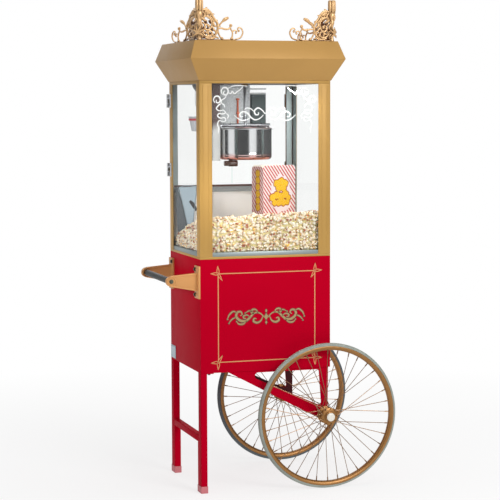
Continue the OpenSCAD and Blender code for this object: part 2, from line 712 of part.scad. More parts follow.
// A knuckle on the flap's hinge line, from x0 to x1, with the leaf that holds it to its plate
module lid_knuckle(x0, x1, leaf) at_kettle() {
    rod_x([x0, -hinge_line, knuckle_z], knuckle_r, x1 - x0);
    block([x0, min(leaf, -hinge_line), lid_z + fine], [x1, max(leaf, -hinge_line), knuckle_z]);
}
module kettle_lid() color("#c4c7c8") {
    difference() {
        lid_disc();
        block([0, 0, lid_z - 1], [cabinet_w, kettle_y - hinge_line + 0.3, lid_z + 4]);
    }
    for (x = [-2 * lid_knuckle_w, lid_knuckle_w]) difference() {
        lid_knuckle(x, x + lid_knuckle_w - 0.4, 5 - hinge_line);
        at_kettle() block([x - 1, -hinge_line - 3, lid_z - 1], [x + 30, 0.3 - hinge_line, lid_top]);
    }
    rod_x([kettle_x - 2 * lid_knuckle_w, kettle_y - hinge_line, knuckle_z], lid_pin_r,
        4 * lid_knuckle_w - 0.4);
}
module lid_flap() color("#c4c7c8") {
    difference() {
        lid_disc();
        block([0, kettle_y - hinge_line - 0.5, lid_z - 1], [cabinet_w, cabinet_d, lid_z + 4]);
    }
    difference() {
        lid_knuckle(-lid_knuckle_w, lid_knuckle_w - 0.4, -6 - hinge_line);
        at_kettle() block([-30, -hinge_line - 0.5, lid_z - 1], [30, 3 - hinge_line, lid_top]);
        rod_x([0, kettle_y - hinge_line, knuckle_z], lid_pin_r + run_gap, cabinet_w);
    }
    block([kettle_x - 8, kettle_y - lid_r - 6, lid_z + fine],
        [kettle_x + 8, kettle_y - lid_r + 8, lid_top]);
}
tongue = [4, 10];
blade_t = 3;
blade_h = 9;
stirrer_z = pan_z + 2;
// The stirrer: two sweeping blades, a crossbar above them and a tongue for the coupling
module agitator() color("#a9acae") at_kettle() {
    rod_z([0, 0, stirrer_z], stirrer_r, pivot_z + 10 - stirrer_z);
    block([-tongue[0] / 2, -tongue[1] / 2, pivot_z + 9.5],
        [tongue[0] / 2, tongue[1] / 2, pivot_z + 22]);
    rod_z([0, 0, stirrer_z], 9, 12);
    for (a = [0, 180]) rotate(a) translate([6, -blade_t / 2, stirrer_z])
        cube([pan_r - 14, blade_t, blade_h]);
    translate([-26, -blade_t / 2, pan_z + 30]) cube([52, blade_t, 6]);
}
coupling_r = 8;
coupling_l = 24;
slot_gap = 0.3;
motor_z = head_z + 39;
module drive_shaft() color("#a06a48") at_kettle() {
    difference() {
        rod_z([0, 0, coupling_z], coupling_r, coupling_l);
        block([-tongue[0] / 2 - slot_gap, -10, coupling_z - 1],
            [tongue[0] / 2 + slot_gap, 10, pivot_z + 25]);
    }
    rod_z([0, 0, coupling_z + coupling_l - 1], shaft_r, motor_z - coupling_z - coupling_l + 1);
}
knob_y = kettle_y - 40;
knob_z = kettle_base_z - 12;
module dump_knob() color("#3a2a22") {
    rod_x([kettle_x - 88, knob_y, knob_z], 9, 16);
    rod_x([kettle_x - 72, knob_y, knob_z], 11, 30);
    block([kettle_x - 70, knob_y - 6, knob_z], [kettle_x - 60, knob_y + 6, kettle_base_z - fine]);
}
gearbox_x = [-35, 50];
gearbox_half_d = 30;
gearbox_h = 50;
motor_r = 26;
motor_l = 80;
module drive_motor() color("#6d7072") at_kettle() difference() {
    union() {
        block([gearbox_x[0], -gearbox_half_d, head_z + 2],
            [gearbox_x[1], gearbox_half_d, head_z + 2 + gearbox_h]);
        rod_x([gearbox_x[1], 0, head_z + 30], motor_r, motor_l);
    }
    rod_z([0, 0, head_z + 1], shaft_r + run_gap, 40);
}
rail_t = 2;
rail_h = 5;
rail_z = [1367, 1384];
control_box_x = [185, 291];
control_box_z = 1170;
control_box_d = 30;
junction_box_x = [298, 352];
junction_box_z = [1215, 1373];
junction_box_d = 24;
vent_x = [204, 272];
vent_z = 1200;
vent_pitch = 12;
// The control box at the back, with cooling slots and the two rails that carry both boxes
module control_box() color("#b7bab9") difference() {
    union() {
        block([control_box_x[0], rear_box_y, control_box_z],
            [control_box_x[1], rear_box_y + control_box_d, head_z]);
        for (z = rail_z) block([control_box_x[0], rear_box_y - rail_t, z],
            [junction_box_x[1], rear_box_y, z + rail_h]);
    }
    for (i = [0 : 5]) block([vent_x[0], rear_box_y + control_box_d - 4, vent_z + vent_pitch * i],
        [vent_x[1], rear_box_y + control_box_d + 1, vent_z + 5 + vent_pitch * i]);
}
module junction_box() color("#4d5454") block([junction_box_x[0], rear_box_y, junction_box_z[0]],
    [junction_box_x[1], rear_box_y + junction_box_d, junction_box_z[1]]);
lead_r = 3.5;
lead_x = 76;
lead_bend = 14;
swivel_r = 14;
// The kettle's lead drops from the ceiling and turns into a swivel gland on the arm
module kettle_lead() color("#232323") {
    rod_z([lead_x, kettle_y, pivot_z + lead_bend], lead_r, head_z - pivot_z - lead_bend - 6);
    rod_z([lead_x, kettle_y, head_z - 12], 7, 12 - fine);
    translate([lead_x + lead_bend, kettle_y, pivot_z + lead_bend]) rotate([90, 0, 0])
        rotate_extrude(angle = 90, start = 180) translate([lead_bend, 0]) circle(r = lead_r, $fn = 24);
    difference() {
        rod_x([lead_x + lead_bend - 3, kettle_y, pivot_z], swivel_r,
            arm_x0 - lead_x - lead_bend + 3 - fine);
        rod_x([lead_x + lead_bend + 2, kettle_y, pivot_z], swivel_r - sheet, 40);
    }
}
lamp_x = 87;
lamp_y = 262;
lamp_r = 37;
module ceiling_lamp() color("#3a3735") intersection() {
    translate([lamp_x, lamp_y, head_z + 6]) sphere(r = lamp_r);
    block([0, 200, head_z - 60], [200, 350, head_z - fine]);
}

placed() cart_box();
placed() leg_front();
placed() leg_rear();
placed() leg_crossbar();
placed() leg_feet();
placed() wheel_brackets();
placed() axle();
placed() handle_brackets();
placed() handle_grip();
placed() cart_fasteners();
placed() rating_plate();
placed() hinges_fixed();
placed() at_wheel(true) tyre();  // tyre_front
placed() at_wheel(true) rim();  // rim_front
placed() at_wheel(true) spokes();  // spokes_front
placed() at_wheel(true) hub();  // hub_front
placed() at_wheel(false) tyre();  // tyre_rear
placed() at_wheel(false) rim();  // rim_rear
placed() at_wheel(false) spokes();  // spokes_rear
placed() at_wheel(false) hub();  // hub_rear
placed() base_frame();
placed() deck();
placed() glass_channels();
placed() posts_front();
placed() posts_rear();
placed() glass_front();
placed() glass_sides();
placed() head_rail();
placed() roof_shell();
placed() ornament_left();
placed() ornament_right();
placed() rear_panel();
placed() ceiling_plate();
placed() hanger_arm();
placed() bushes();
placed() control_box();
placed() junction_box();
placed() drive_motor();
placed() kettle_lead();
placed() ceiling_lamp();
placed() switch_panel();
placed() power_gland();
placed() crumb_tray();
placed() rear_door_left();
placed() rear_door_right();
placed() door_fittings_left();
placed() door_fittings_right();
placed() storage_door();
placed() storage_fittings();
placed() kettle_shell();
placed() kettle_pan();
placed() kettle_heater();
placed() kettle_trunnion();
placed() kettle_lid();
placed() lid_flap();
placed() agitator();
placed() dump_knob();
placed() drive_shaft();
placed() rocker_kettle();
placed() rocker_motor();
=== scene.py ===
"""Popcorn maker on a two-wheeled cart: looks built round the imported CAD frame."""
import json
import math
import random

import bmesh
import bpy
from mathutils import Matrix, Vector, noise

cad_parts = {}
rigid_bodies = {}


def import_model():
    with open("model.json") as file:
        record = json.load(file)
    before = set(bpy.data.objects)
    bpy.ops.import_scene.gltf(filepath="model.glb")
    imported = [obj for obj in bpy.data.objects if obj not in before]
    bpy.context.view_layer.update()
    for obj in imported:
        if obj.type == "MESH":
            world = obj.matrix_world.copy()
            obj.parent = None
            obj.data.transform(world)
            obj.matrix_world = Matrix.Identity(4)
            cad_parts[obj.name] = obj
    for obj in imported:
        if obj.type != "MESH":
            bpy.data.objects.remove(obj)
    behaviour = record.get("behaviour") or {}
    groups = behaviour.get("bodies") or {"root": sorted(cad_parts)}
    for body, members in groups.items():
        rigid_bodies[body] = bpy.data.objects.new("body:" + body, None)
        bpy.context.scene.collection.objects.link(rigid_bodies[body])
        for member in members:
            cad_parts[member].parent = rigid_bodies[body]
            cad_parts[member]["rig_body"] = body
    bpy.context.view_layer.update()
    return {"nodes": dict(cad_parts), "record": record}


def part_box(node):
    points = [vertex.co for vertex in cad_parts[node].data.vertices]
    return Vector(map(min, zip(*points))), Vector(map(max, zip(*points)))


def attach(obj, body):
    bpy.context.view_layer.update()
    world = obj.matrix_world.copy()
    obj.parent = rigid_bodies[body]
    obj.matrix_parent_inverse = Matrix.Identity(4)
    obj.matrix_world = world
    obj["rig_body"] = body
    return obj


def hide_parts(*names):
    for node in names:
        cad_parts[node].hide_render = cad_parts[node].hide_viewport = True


MM = 0.001
scene = bpy.context.scene
scene.view_settings.view_transform = "Standard"

# ---------------------------------------------------------------- camera
CAMERA_AT = (-1.8244, -5.4939, 1.3168)
YAW, PITCH, ROLL = math.radians(17.885), math.radians(4.951), math.radians(0.19)
LENS_MM, SENSOR_MM = 117.74, 36
camera = bpy.data.objects.new("camera", bpy.data.cameras.new("camera"))
scene.collection.objects.link(camera)
camera.data.sensor_width = SENSOR_MM
camera.data.lens = LENS_MM
camera.matrix_world = (
    Matrix.Translation(CAMERA_AT)
    @ Matrix.Rotation(-YAW, 4, "Z")
    @ Matrix.Rotation(math.pi / 2 - PITCH, 4, "X")
    @ Matrix.Rotation(-ROLL, 4, "Z")
)
scene.camera = camera

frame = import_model()
NODES = frame["nodes"]
CART_LO, CART_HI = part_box("cart_box")
# Width and depth of the cart's body and of the cabinet on it, in mm
W = (CART_HI.x - CART_LO.x) * 1000
D = (CART_HI.y - CART_LO.y) * 1000


def at(x, y, z):
    """A point from cabinet coordinates in mm: x from the left face, y from the front, z up."""
    return Vector((CART_LO.x + x / 1000, CART_LO.y + y / 1000, z / 1000))


# ---------------------------------------------------------------- materials
def srgb(r, g, b):
    def one(v):
        v /= 255
        return v / 12.92 if v <= 0.04045 else ((v + 0.055) / 1.055) ** 2.4

    return (one(r), one(g), one(b), 1)


def scaled(c, k):
    return (min(c[0] * k, 1), min(c[1] * k, 1), min(c[2] * k, 1), 1)


class Nodes:
    """A short way to write a material's node tree."""

    def __init__(self, name):
        self.m = bpy.data.materials.new(name)
        self.m.use_nodes = True
        self.t = self.m.node_tree
        self.t.nodes.clear()
        self.out = self.new("OutputMaterial")
        self.bsdf = self.new("BsdfPrincipled")
        self.link(self.bsdf.outputs[0], self.out.inputs[0])
        self.coord = self.new("TexCoord").outputs["Object"]

    def new(self, kind, **inputs):
        """A new node whose named inputs get values or links."""
        n = self.t.nodes.new("ShaderNode" + kind)
        for name, value in inputs.items():
            self.put(n.inputs[name], value)
        return n

    def link(self, a, b):
        self.t.links.new(a, b)

    def put(self, socket, value):
        if isinstance(value, bpy.types.NodeSocket):
            self.link(value, socket)
        else:
            socket.default_value = value

    def mapped(self, scale):
        return self.new("Mapping", Vector=self.coord, Scale=scale).outputs[0]

    def noise(self, scale, detail=3, rough=0.5, vector=None):
        n = self.new("TexNoise", Vector=vector or self.coord, Scale=scale, Detail=detail, Roughness=rough)
        return n.outputs["Fac"]

    def cells(self, scale):
        """Distance from the middles of soft-edged cells."""
        n = self.new("TexVoronoi", Vector=self.coord, Scale=scale)
        n.feature = "SMOOTH_F1"
        return n.outputs["Distance"]

    def spread(self, fac, lo, hi, a=0.0, b=1.0):
        """Maps fac from a to b onto lo to hi."""
        n = self.new("MapRange")
        for i, v in enumerate((fac, a, b, lo, hi)):
            self.put(n.inputs[i], v)
        return n.outputs[0]

    def math(self, op, a, b=0.0, c=0.0):
        n = self.new("Math")
        n.operation = op
        for i, v in enumerate((a, b, c)):
            self.put(n.inputs[i], v)
        return n.outputs[0]

    def mix(self, fac, a, b):
        n = self.new("Mix")
        n.data_type = "RGBA"
        for i, v in ((0, fac), (6, a), (7, b)):
            self.put(n.inputs[i], v)
        return n.outputs[2]

    def axis(self, which):
        return self.new("SeparateXYZ", Vector=self.coord).outputs["XYZ".index(which)]

    def bump(self, height, strength, distance):
        n = self.new("Bump", Strength=strength, Distance=distance, Height=height)
        self.link(n.outputs[0], self.bsdf.inputs["Normal"])

    def blend(self, fac, first, second):
        """Sends a mix of two shaders to the output."""
        n = self.new("MixShader")
        for i, v in enumerate((fac, first, second)):
            self.link(v, n.inputs[i])
        self.link(n.outputs[0], self.out.inputs[0])

    def varied(self, fac, color, less, more):
        """Runs between two versions of a colour, scaled by less and by more."""
        return self.mix(fac, scaled(color, less), scaled(color, more))

    def set(self, **kw):
        """Values or links for the principled shader; an underscore stands for a space."""
        for k, v in kw.items():
            self.put(self.bsdf.inputs[k.replace("_", " ")], v)


def painted(name, color, rough=0.4, coat=0.05, metallic=0.0, peel=0.12, vary=0.05, shine=0.2):
    """Sprayed sheet metal: fine orange peel, a little unevenness in tone and gloss."""
    n = Nodes(name)
    tone = n.varied(n.spread(n.noise(5, 3), 0, 1, 0.3, 0.7), color, 1 - vary, 1 + vary)
    n.set(Base_Color=tone, Metallic=metallic, Specular_IOR_Level=shine)
    n.set(Coat_Weight=coat, Coat_Roughness=0.12)
    n.set(Roughness=n.spread(n.noise(24, 5), rough - 0.05, rough + 0.07))
    n.bump(n.noise(800, 2), peel, 0.0003)
    return n.m


def brushed(name, color, rough=0.3, axis="X", metallic=1.0, vary=0.1):
    """Sheet metal with fine straight brush lines along one axis."""
    n = Nodes(name)
    scale = {"X": (6, 900, 900), "Z": (900, 900, 6)}[axis]
    lines = n.noise(1.0, 4, 0.6, vector=n.mapped(scale))
    tone = n.varied(lines, color, 1 - vary, 1 + vary * 0.6)
    tone = n.mix(n.spread(n.noise(9, 3), 0, 0.35, 0.35, 0.75), tone, scaled(color, 0.82))
    n.set(Base_Color=tone, Metallic=metallic)
    n.set(Roughness=n.spread(lines, rough - 0.06, rough + 0.1, 0.3, 0.7))
    n.bump(lines, 0.12, 0.0002)
    return n.m


def plain_metal(name, color, rough=0.2, scratch=0.05, vary=0.06, metallic=1.0):
    """Turned, plated or cast metal with a cloudy tone and fine scratches."""
    n = Nodes(name)
    n.set(Base_Color=n.varied(n.noise(40, 5), color, 1 - vary, 1 + vary), Metallic=metallic)
    n.set(Roughness=n.spread(n.noise(60, 6), rough * 0.75, rough * 1.35))
    n.bump(n.noise(500, 4), scratch, 0.0002)
    return n.m


def plastic(name, color, rough=0.45, grain=900, strength=0.1, vary=0.08, coat=0.0):
    """Moulded plastic, rubber or print with a fine grain."""
    n = Nodes(name)
    n.set(Base_Color=n.varied(n.noise(30, 4), color, 1 - vary, 1 + vary), Coat_Weight=coat)
    n.set(Roughness=n.spread(n.noise(80, 4), rough - 0.06, rough + 0.08))
    n.bump(n.noise(grain, 2), strength, 0.0003)
    return n.m


def antiqued(name, color, dark, rough):
    """Cast and lacquered metal with a dark wash that stays in its recesses."""
    n = Nodes(name)
    hollow = n.new("AmbientOcclusion", Distance=0.018)
    hollow.samples = 8
    wash = n.spread(hollow.outputs["AO"], 0, 1, 0.42, 0.86)
    mottled = n.math("ADD", wash, n.spread(n.noise(120, 4), -0.12, 0.12))
    tone = n.varied(n.noise(60, 4), color, 0.88, 1.12)
    clean = n.math("MINIMUM", n.math("MAXIMUM", mottled, 0.0), 1.0)
    n.set(Base_Color=n.mix(clean, dark, tone), Metallic=0.3)
    n.set(Roughness=n.spread(n.noise(90, 5), rough - 0.08, rough + 0.15))
    n.bump(n.noise(260, 5), 0.25, 0.0006)
    return n.m


def hammertone():
    """Hammered paint: shallow round dents with paler middles."""
    n = Nodes("hammertone")
    cells = n.cells(150)
    tone = n.varied(n.spread(cells, 0, 1, 0.1, 0.75), srgb(198, 202, 204), 1.06, 0.8)
    n.set(Base_Color=tone, Metallic=0.1, Coat_Weight=0.2, Roughness=n.spread(cells, 0.3, 0.45))
    n.bump(cells, 0.55, 0.0009)
    return n.m


def tyre_rubber(name, base):
    """Dusty grey rubber."""
    n = Nodes(name)
    dust = n.noise(22, 6, 0.65)
    tone = n.varied(n.spread(dust, 0, 1, 0.35, 0.7), base, 0.82, 1.1)
    n.set(Base_Color=tone, Specular_IOR_Level=0.35, Roughness=n.spread(dust, 0.55, 0.78))
    n.bump(n.noise(700, 3), 0.3, 0.0004)
    return n.m


def polished_kettle():
    """Spun and polished steel: faint turning rings, heat tint round the foot."""
    n = Nodes("polished_kettle")
    rings = n.noise(1.0, 3, 0.5, vector=n.mapped((3, 3, 1500)))
    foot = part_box("kettle_shell")[0].z
    tint = n.spread(n.axis("Z"), 1, 0, foot + 0.004, foot + 0.024)
    smear = n.math("MULTIPLY", tint, n.spread(n.noise(30, 4), 0.6, 1.0))
    tone = n.mix(rings, srgb(196, 196, 198), srgb(214, 214, 215))
    n.set(Base_Color=n.mix(smear, tone, srgb(214, 100, 60)), Metallic=1.0)
    n.set(Roughness=n.spread(n.noise(45, 5), 0.08, 0.2))
    n.bump(rings, 0.04, 0.0002)
    return n.m


def clear_glass(name, tint, gloss):
    """Clear glass with a smeared mirror that grows towards grazing views by Schlick's rule."""
    n = Nodes(name)
    n.t.nodes.remove(n.bsdf)
    clear = n.new("BsdfTransparent", Color=tint)
    shine = n.new("BsdfGlossy", Roughness=0.02, Color=(gloss, gloss, gloss, 1))
    head_on = 0.04
    facing = n.new("LayerWeight").outputs["Facing"]
    mirror = n.math("MULTIPLY_ADD", n.math("POWER", facing, 5.0), 1 - head_on, head_on)
    smear = n.spread(n.noise(7, 4), 0.22, 0.4)
    n.blend(n.math("MULTIPLY", mirror, smear), clear.outputs[0], shine.outputs[0])
    return n.m


def arm_painted_shade():
    """Brushed steel with painted shade: it turns dark brown above the kettle's axis."""
    n = Nodes("arm_painted_shade")
    lines = n.noise(1.0, 4, 0.6, vector=n.mapped((900, 900, 6)))
    uneven = n.math("ADD", n.axis("Z"), n.spread(n.noise(14, 4), -0.03, 0.03))
    # Painted shade: this mask browns the arm above the kettle's axis
    heat = n.spread(uneven, 0, 1, 1.235, 1.275)
    clean = n.mix(lines, srgb(206, 206, 204), srgb(226, 226, 224))
    brown = n.mix(lines, srgb(74, 62, 62), srgb(112, 96, 94))
    n.set(Base_Color=n.mix(heat, clean, brown), Metallic=0.5)
    n.set(Roughness=n.spread(lines, 0.28, 0.44, 0.3, 0.7))
    n.bump(lines, 0.12, 0.0002)
    return n.m


def popcorn_paint():
    """Cream with butter patches and a brown hull, from each kernel's own tone."""
    n = Nodes("popcorn")
    look = n.new("VertexColor")
    look.layer_name = "tone"
    split = n.new("SeparateColor", Color=look.outputs["Color"])
    patches = n.spread(n.noise(140, 4), 0, 1, 0.42, 0.66)
    butter = n.math("MULTIPLY", n.math("ADD", split.outputs[0], 0.25), patches)
    base = n.mix(butter, srgb(255, 252, 236), srgb(255, 196, 74))
    brown = n.math("MULTIPLY", split.outputs[1], n.spread(n.noise(260, 3), 0.6, 1.3))
    tone = n.mix(n.math("MINIMUM", brown, 1.0), base, srgb(166, 76, 24))
    n.set(Base_Color=tone, Specular_IOR_Level=0.3, Roughness=n.spread(n.noise(200, 3), 0.5, 0.75))
    n.bump(n.noise(420, 4), 0.35, 0.0006)
    return n.m


def card(name, along):
    """White card printed with slanting red stripes; along is the panel's own direction."""
    slant, pitch = math.radians(52), 0.0102
    n = Nodes(name)
    u = n.math("MULTIPLY", n.axis("X"), along.x)
    u = n.math("ADD", u, n.math("MULTIPLY", n.axis("Y"), along.y))
    across = n.math("MULTIPLY", u, math.sin(slant))
    across = n.math("ADD", across, n.math("MULTIPLY", n.axis("Z"), math.cos(slant)))
    wave = n.math("SINE", n.math("MULTIPLY", across, 2 * math.pi / pitch))
    white = n.mix(n.noise(50, 4), srgb(238, 224, 218), srgb(228, 214, 208))
    stripes = n.spread(wave, 0, 1, 0.12, 0.42)
    n.set(Base_Color=n.mix(stripes, white, srgb(196, 44, 58)), Coat_Weight=0.2)
    n.set(Roughness=n.spread(n.noise(90, 3), 0.4, 0.55))
    n.bump(n.noise(900, 2), 0.08, 0.0002)
    return n.m


RED = painted("red_paint", srgb(180, 0, 32), rough=0.42, coat=0.0, peel=0.1, vary=0.03, shine=0.01)
GOLD = painted("gold_paint", srgb(184, 144, 78), rough=0.42, coat=0.0, metallic=0.12, vary=0.04)
ROOF = painted("roof_paint", srgb(184, 142, 80), coat=0.0, metallic=0.12, vary=0.04)
STRIPE = painted("stripe_paint", srgb(208, 148, 100), vary=0.08)
BRACKET = painted("bracket_paint", srgb(204, 148, 92), coat=0.0, metallic=0.12, vary=0.07)
# Painted shade: dark red for the wheel brackets' faces that look inwards
BRACKET_SHADE_RED = painted("painted_shade_red", srgb(58, 14, 20), rough=0.6, peel=0.2, vary=0.15, shine=0.1)
GRIP_BLACK = painted("grip_black", srgb(14, 16, 18), rough=0.32, coat=0.0, peel=0.1, vary=0.1, shine=0.12)
FLOURISH = painted("flourish_gold_paint", srgb(166, 140, 96), rough=0.35, coat=0.3, vary=0.1)
TRIM = painted("dark_trim", srgb(88, 62, 58), rough=0.5, vary=0.2)
BAND = painted("grey_band", srgb(138, 142, 142), rough=0.5, vary=0.2)
GREY_PAINT = painted("motor_paint", srgb(98, 104, 108), rough=0.5, peel=0.25)
DARK_PAINT = painted("dark_box_paint", srgb(78, 88, 88), rough=0.5, peel=0.2, vary=0.12)

COPPER = plain_metal("copper_plating", srgb(150, 106, 58), rough=0.36, scratch=0.08, vary=0.16,
                     metallic=0.6)
SPOKE = plain_metal("spoke_plating", srgb(140, 110, 82), rough=0.34, vary=0.14, metallic=0.7)
CHROME = plain_metal("chrome", srgb(225, 226, 228), rough=0.12)
STEEL = plain_metal("turned_steel", srgb(170, 172, 176), rough=0.28, scratch=0.1)
DARKSTEEL = plain_metal("blackened_steel", srgb(92, 94, 82), rough=0.4, scratch=0.15, vary=0.2)
LID = plain_metal("heat_tinted_steel", srgb(112, 92, 90), rough=0.5, scratch=0.1, vary=0.2, metallic=0.25)
BRONZE = plain_metal("oiled_bronze", srgb(150, 116, 60), rough=0.35)
CONDUIT = plain_metal("conduit_copper", srgb(222, 120, 92), rough=0.35, scratch=0.08, vary=0.12)
CAST = antiqued("cast_gold", srgb(228, 184, 130), srgb(74, 38, 10), rough=0.28)

STAINLESS = brushed("stainless", srgb(205, 208, 210), rough=0.32)
LINER = brushed("stainless_liner", srgb(168, 182, 182), rough=0.4, axis="Z", vary=0.2, metallic=0.25)
SATIN = brushed("satin_panel", srgb(240, 238, 236), rough=0.45, vary=0.05, metallic=0.1)
GALVANISED = brushed("galvanised_sheet", srgb(138, 154, 164), rough=0.45, axis="Z", vary=0.3, metallic=0.4)
# Painted shadow: a dark sheet behind the scoop
SHADOW_SHEET = brushed("painted_shadow_sheet", srgb(52, 60, 66), rough=0.45, axis="Z", vary=0.3, metallic=0.4)
CEILING = brushed("ceiling_sheet", srgb(96, 92, 98), rough=0.4, vary=0.2, metallic=0.7)
CHANNEL = brushed("channel_aluminium", srgb(148, 158, 158), rough=0.4, vary=0.15, metallic=0.6)
ALUMINIUM = brushed("aluminium_sheet", srgb(178, 192, 200), rough=0.42, axis="Z", vary=0.12)
ARM = arm_painted_shade()
KETTLE = polished_kettle()
HAMMER = hammertone()

BLACK = plastic("black_plastic", srgb(24, 22, 22), rough=0.42, strength=0.2)
DARK = plastic("dark_gloss", srgb(40, 36, 34), rough=0.2, strength=0.05, coat=0.4)
LEAD_BLACK = plastic("lead_sheath", srgb(30, 28, 28), rough=0.5, strength=0.3)
SLOT_DARK = plastic("slot_shadow", srgb(34, 28, 32), rough=0.85, strength=0.2)
FOOT = plastic("foot_rubber", srgb(196, 112, 118), rough=0.6, strength=0.25)
HEATER = plastic("heater_casting", srgb(88, 76, 68), rough=0.7, grain=500, strength=0.4)
KNOB = plastic("knob_bakelite", srgb(66, 40, 28), rough=0.3, strength=0.06, vary=0.3, coat=0.4)
KNOB_RED = plastic("switch_red", srgb(150, 20, 18), rough=0.25, strength=0.04, coat=0.5)
# Painted shade: dark leaves set behind the ornaments' strokes
RECESS_SHADE = plastic("painted_shade_wash", srgb(92, 50, 16), rough=0.5, grain=300, strength=0.3, vary=0.3)
CAP = plastic("hub_cap_white", srgb(226, 222, 212), rough=0.3, strength=0.03, coat=0.3)
CUP = plastic("cup_plastic", srgb(206, 208, 214), rough=0.3, strength=0.05, coat=0.3)
CUP_RED = plastic("cup_band_red", srgb(204, 36, 52), rough=0.35, strength=0.04)
WHITE_PRINT = plastic("white_print", srgb(250, 250, 248), rough=0.35, strength=0.05)
DARK_LINE = plastic("flourish_dark", srgb(44, 18, 22), rough=0.4, strength=0.05)
CARD_INSIDE = plastic("carton_inside", srgb(246, 240, 228), rough=0.6, strength=0.15)
PUFF_YELLOW = plastic("print_yellow", srgb(250, 190, 30), grain=400, strength=0.05, vary=0.16)
PUFF_BROWN = plastic("print_brown", srgb(176, 84, 20), strength=0.05, vary=0.16)
PUFF_CLOUD = plastic("print_pink_white", srgb(242, 224, 226), strength=0.05)
POPCORN_CORE = plastic("popcorn_core", srgb(255, 226, 168), rough=0.8, grain=300, strength=0.6, vary=0.3)
POPCORN = popcorn_paint()

TYRE = tyre_rubber("tyre_rubber", srgb(150, 156, 148))
# Painted shade: darker rubber for the inward half of each tyre
TYRE_PAINTED_SHADE = tyre_rubber("tyre_rubber_painted_shade", srgb(84, 92, 96))
GLASS = clear_glass("glass_pane", (0.994, 0.998, 0.996, 1), gloss=0.6)
GLASS_EDGE = clear_glass("glass_edge", (0.80, 0.90, 0.87, 1), gloss=0.5)


# ---------------------------------------------------------------- mesh helpers
def turns(count):
    """Angles once round, without the last that meets the first."""
    return [2 * math.pi * k / count for k in range(count)]


def quarter(count):
    """Angles from 0 to 90 degrees."""
    return [math.pi / 2 * k / count for k in range(count + 1)]


def add_piece(name, mesh, materials, body, slot):
    """Puts a finished mesh in the scene, riding on a body."""
    for m in materials:
        mesh.materials.append(m)
    o = bpy.data.objects.new(name, mesh)
    scene.collection.objects.link(o)
    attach(o, body)
    return o


def finish_mesh(name, bm, material, body, slot, angle=35, smooth=True, node=None):
    """Turns a bmesh in row-frame metres into a piece, which replaces a CAD node where one is named."""
    mesh = bpy.data.meshes.new(name)
    bmesh.ops.recalc_face_normals(bm, faces=bm.faces)
    bm.to_mesh(mesh)
    bm.free()
    if smooth:
        mesh.polygons.foreach_set("use_smooth", [True] * len(mesh.polygons))
        mesh.set_sharp_from_angle(angle=math.radians(angle))
    o = add_piece(name, mesh, material if isinstance(material, list) else [material], body, slot)
    if node:
        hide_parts(node)


def slot_of(node):
    for s in frame["record"]["subparts"]:
        if s["node"] == node:
            return s["material_slot"]


def dress(node, material, width=0.8, segments=2, angle=28, chooser=None):
    """Replaces a CAD node by a copy with edges softened by width mm; chooser(face) picks a slot."""
    src = NODES[node]
    bm = bmesh.new()
    bm.from_mesh(src.data)
    bmesh.ops.remove_doubles(bm, verts=bm.verts, dist=3e-6)
    bmesh.ops.dissolve_limit(bm, angle_limit=math.radians(0.5), verts=bm.verts, edges=bm.edges)
    sharp = math.radians(angle)
    edges = [e for e in bm.edges if len(e.link_faces) == 2 and e.calc_face_angle(0) > sharp]
    if width and edges:
        bmesh.ops.bevel(bm, geom=edges, offset=width * MM, offset_type="OFFSET", segments=segments,
                        profile=0.5, clamp_overlap=True, affect="EDGES")
    if chooser:
        bm.normal_update()
        for f in bm.faces:
            f.material_index = chooser(f)
    finish_mesh(node + "_finish", bm, material, src["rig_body"], slot_of(node), node=node)


def lathe(bm, profile, origin, axis, steps=96, closed=False):
    """Turns (radius, along) points in metres round an axis through origin."""
    axis = Vector(axis).normalized()
    side = axis.orthogonal().normalized()
    up = axis.cross(side)
    rings = []
    for a in turns(steps):
        d = side * math.cos(a) + up * math.sin(a)
        rings.append([bm.verts.new(origin + d * r + axis * z) for r, z in profile])
    n = len(profile)
    for i in range(steps):
        a, b = rings[i], rings[(i + 1) % steps]
        for j in range(n if closed else n - 1):
            k = (j + 1) % n
            bm.faces.new((a[j], a[k], b[k], b[j]))
    bmesh.ops.remove_doubles(bm, verts=[v for r in rings for v in r], dist=1e-7)


def catmull(points, n=6):
    """A smooth curve through the points, with n steps between each two."""
    pts = [Vector(p) for p in points]
    out = []
    for i in range(len(pts) - 1):
        a, b = pts[max(i - 1, 0)], pts[i]
        c, d = pts[i + 1], pts[min(i + 2, len(pts) - 1)]
        for k in range(n):
            t = k / n
            out.append(0.5 * (2 * b + (c - a) * t
                              + (2 * a - 5 * b + 4 * c - d) * t * t + (3 * b - a - 3 * c + d) * t**3))
    out.append(pts[-1])
    return out


def tangent(path, i):
    return (path[min(i + 1, len(path) - 1)] - path[max(i - 1, 0)]).normalized()


def tube(bm, path, radii, sides=10, flat=1.0, cap=True):
    """Sweeps a round or oval section along a path, with one radius or a radius at each point."""
    if not isinstance(radii, (list, tuple)):
        radii = [radii] * len(path)
    rings, u = [], None
    for i, (p, r) in enumerate(zip(path, radii)):
        t = tangent(path, i)
        u = t.orthogonal() if u is None else u - t * u.dot(t)
        u.normalize()
        v = t.cross(u)
        ring = [p + u * (math.cos(a) * r * flat) + v * (math.sin(a) * r) for a in turns(sides)]
        rings.append([bm.verts.new(q) for q in ring])
    for a, b in zip(rings, rings[1:]):
        for k in range(sides):
            bm.faces.new((a[k], a[(k + 1) % sides], b[(k + 1) % sides], b[k]))
    if cap:
        bm.faces.new(rings[0][::-1])
        bm.faces.new(rings[-1])


def ball(bm, centre, radius, steps=14, tall=1.0):
    made = bmesh.ops.create_uvsphere(bm, u_segments=steps, v_segments=steps // 2, radius=radius)
    for v in made["verts"]:
        v.co = Vector((v.co.x, v.co.y, v.co.z * tall)) + centre


def dome(bm, p, out, r):
    """A low domed screw or rivet head of radius r that stands on p."""
    outline = ((1, 0), (1, 0.18), (0.9, 0.42), (0.6, 0.6), (0.25, 0.68), (0, 0.7))
    lathe(bm, [(r * a, r * b) for a, b in outline], p, out, 20)


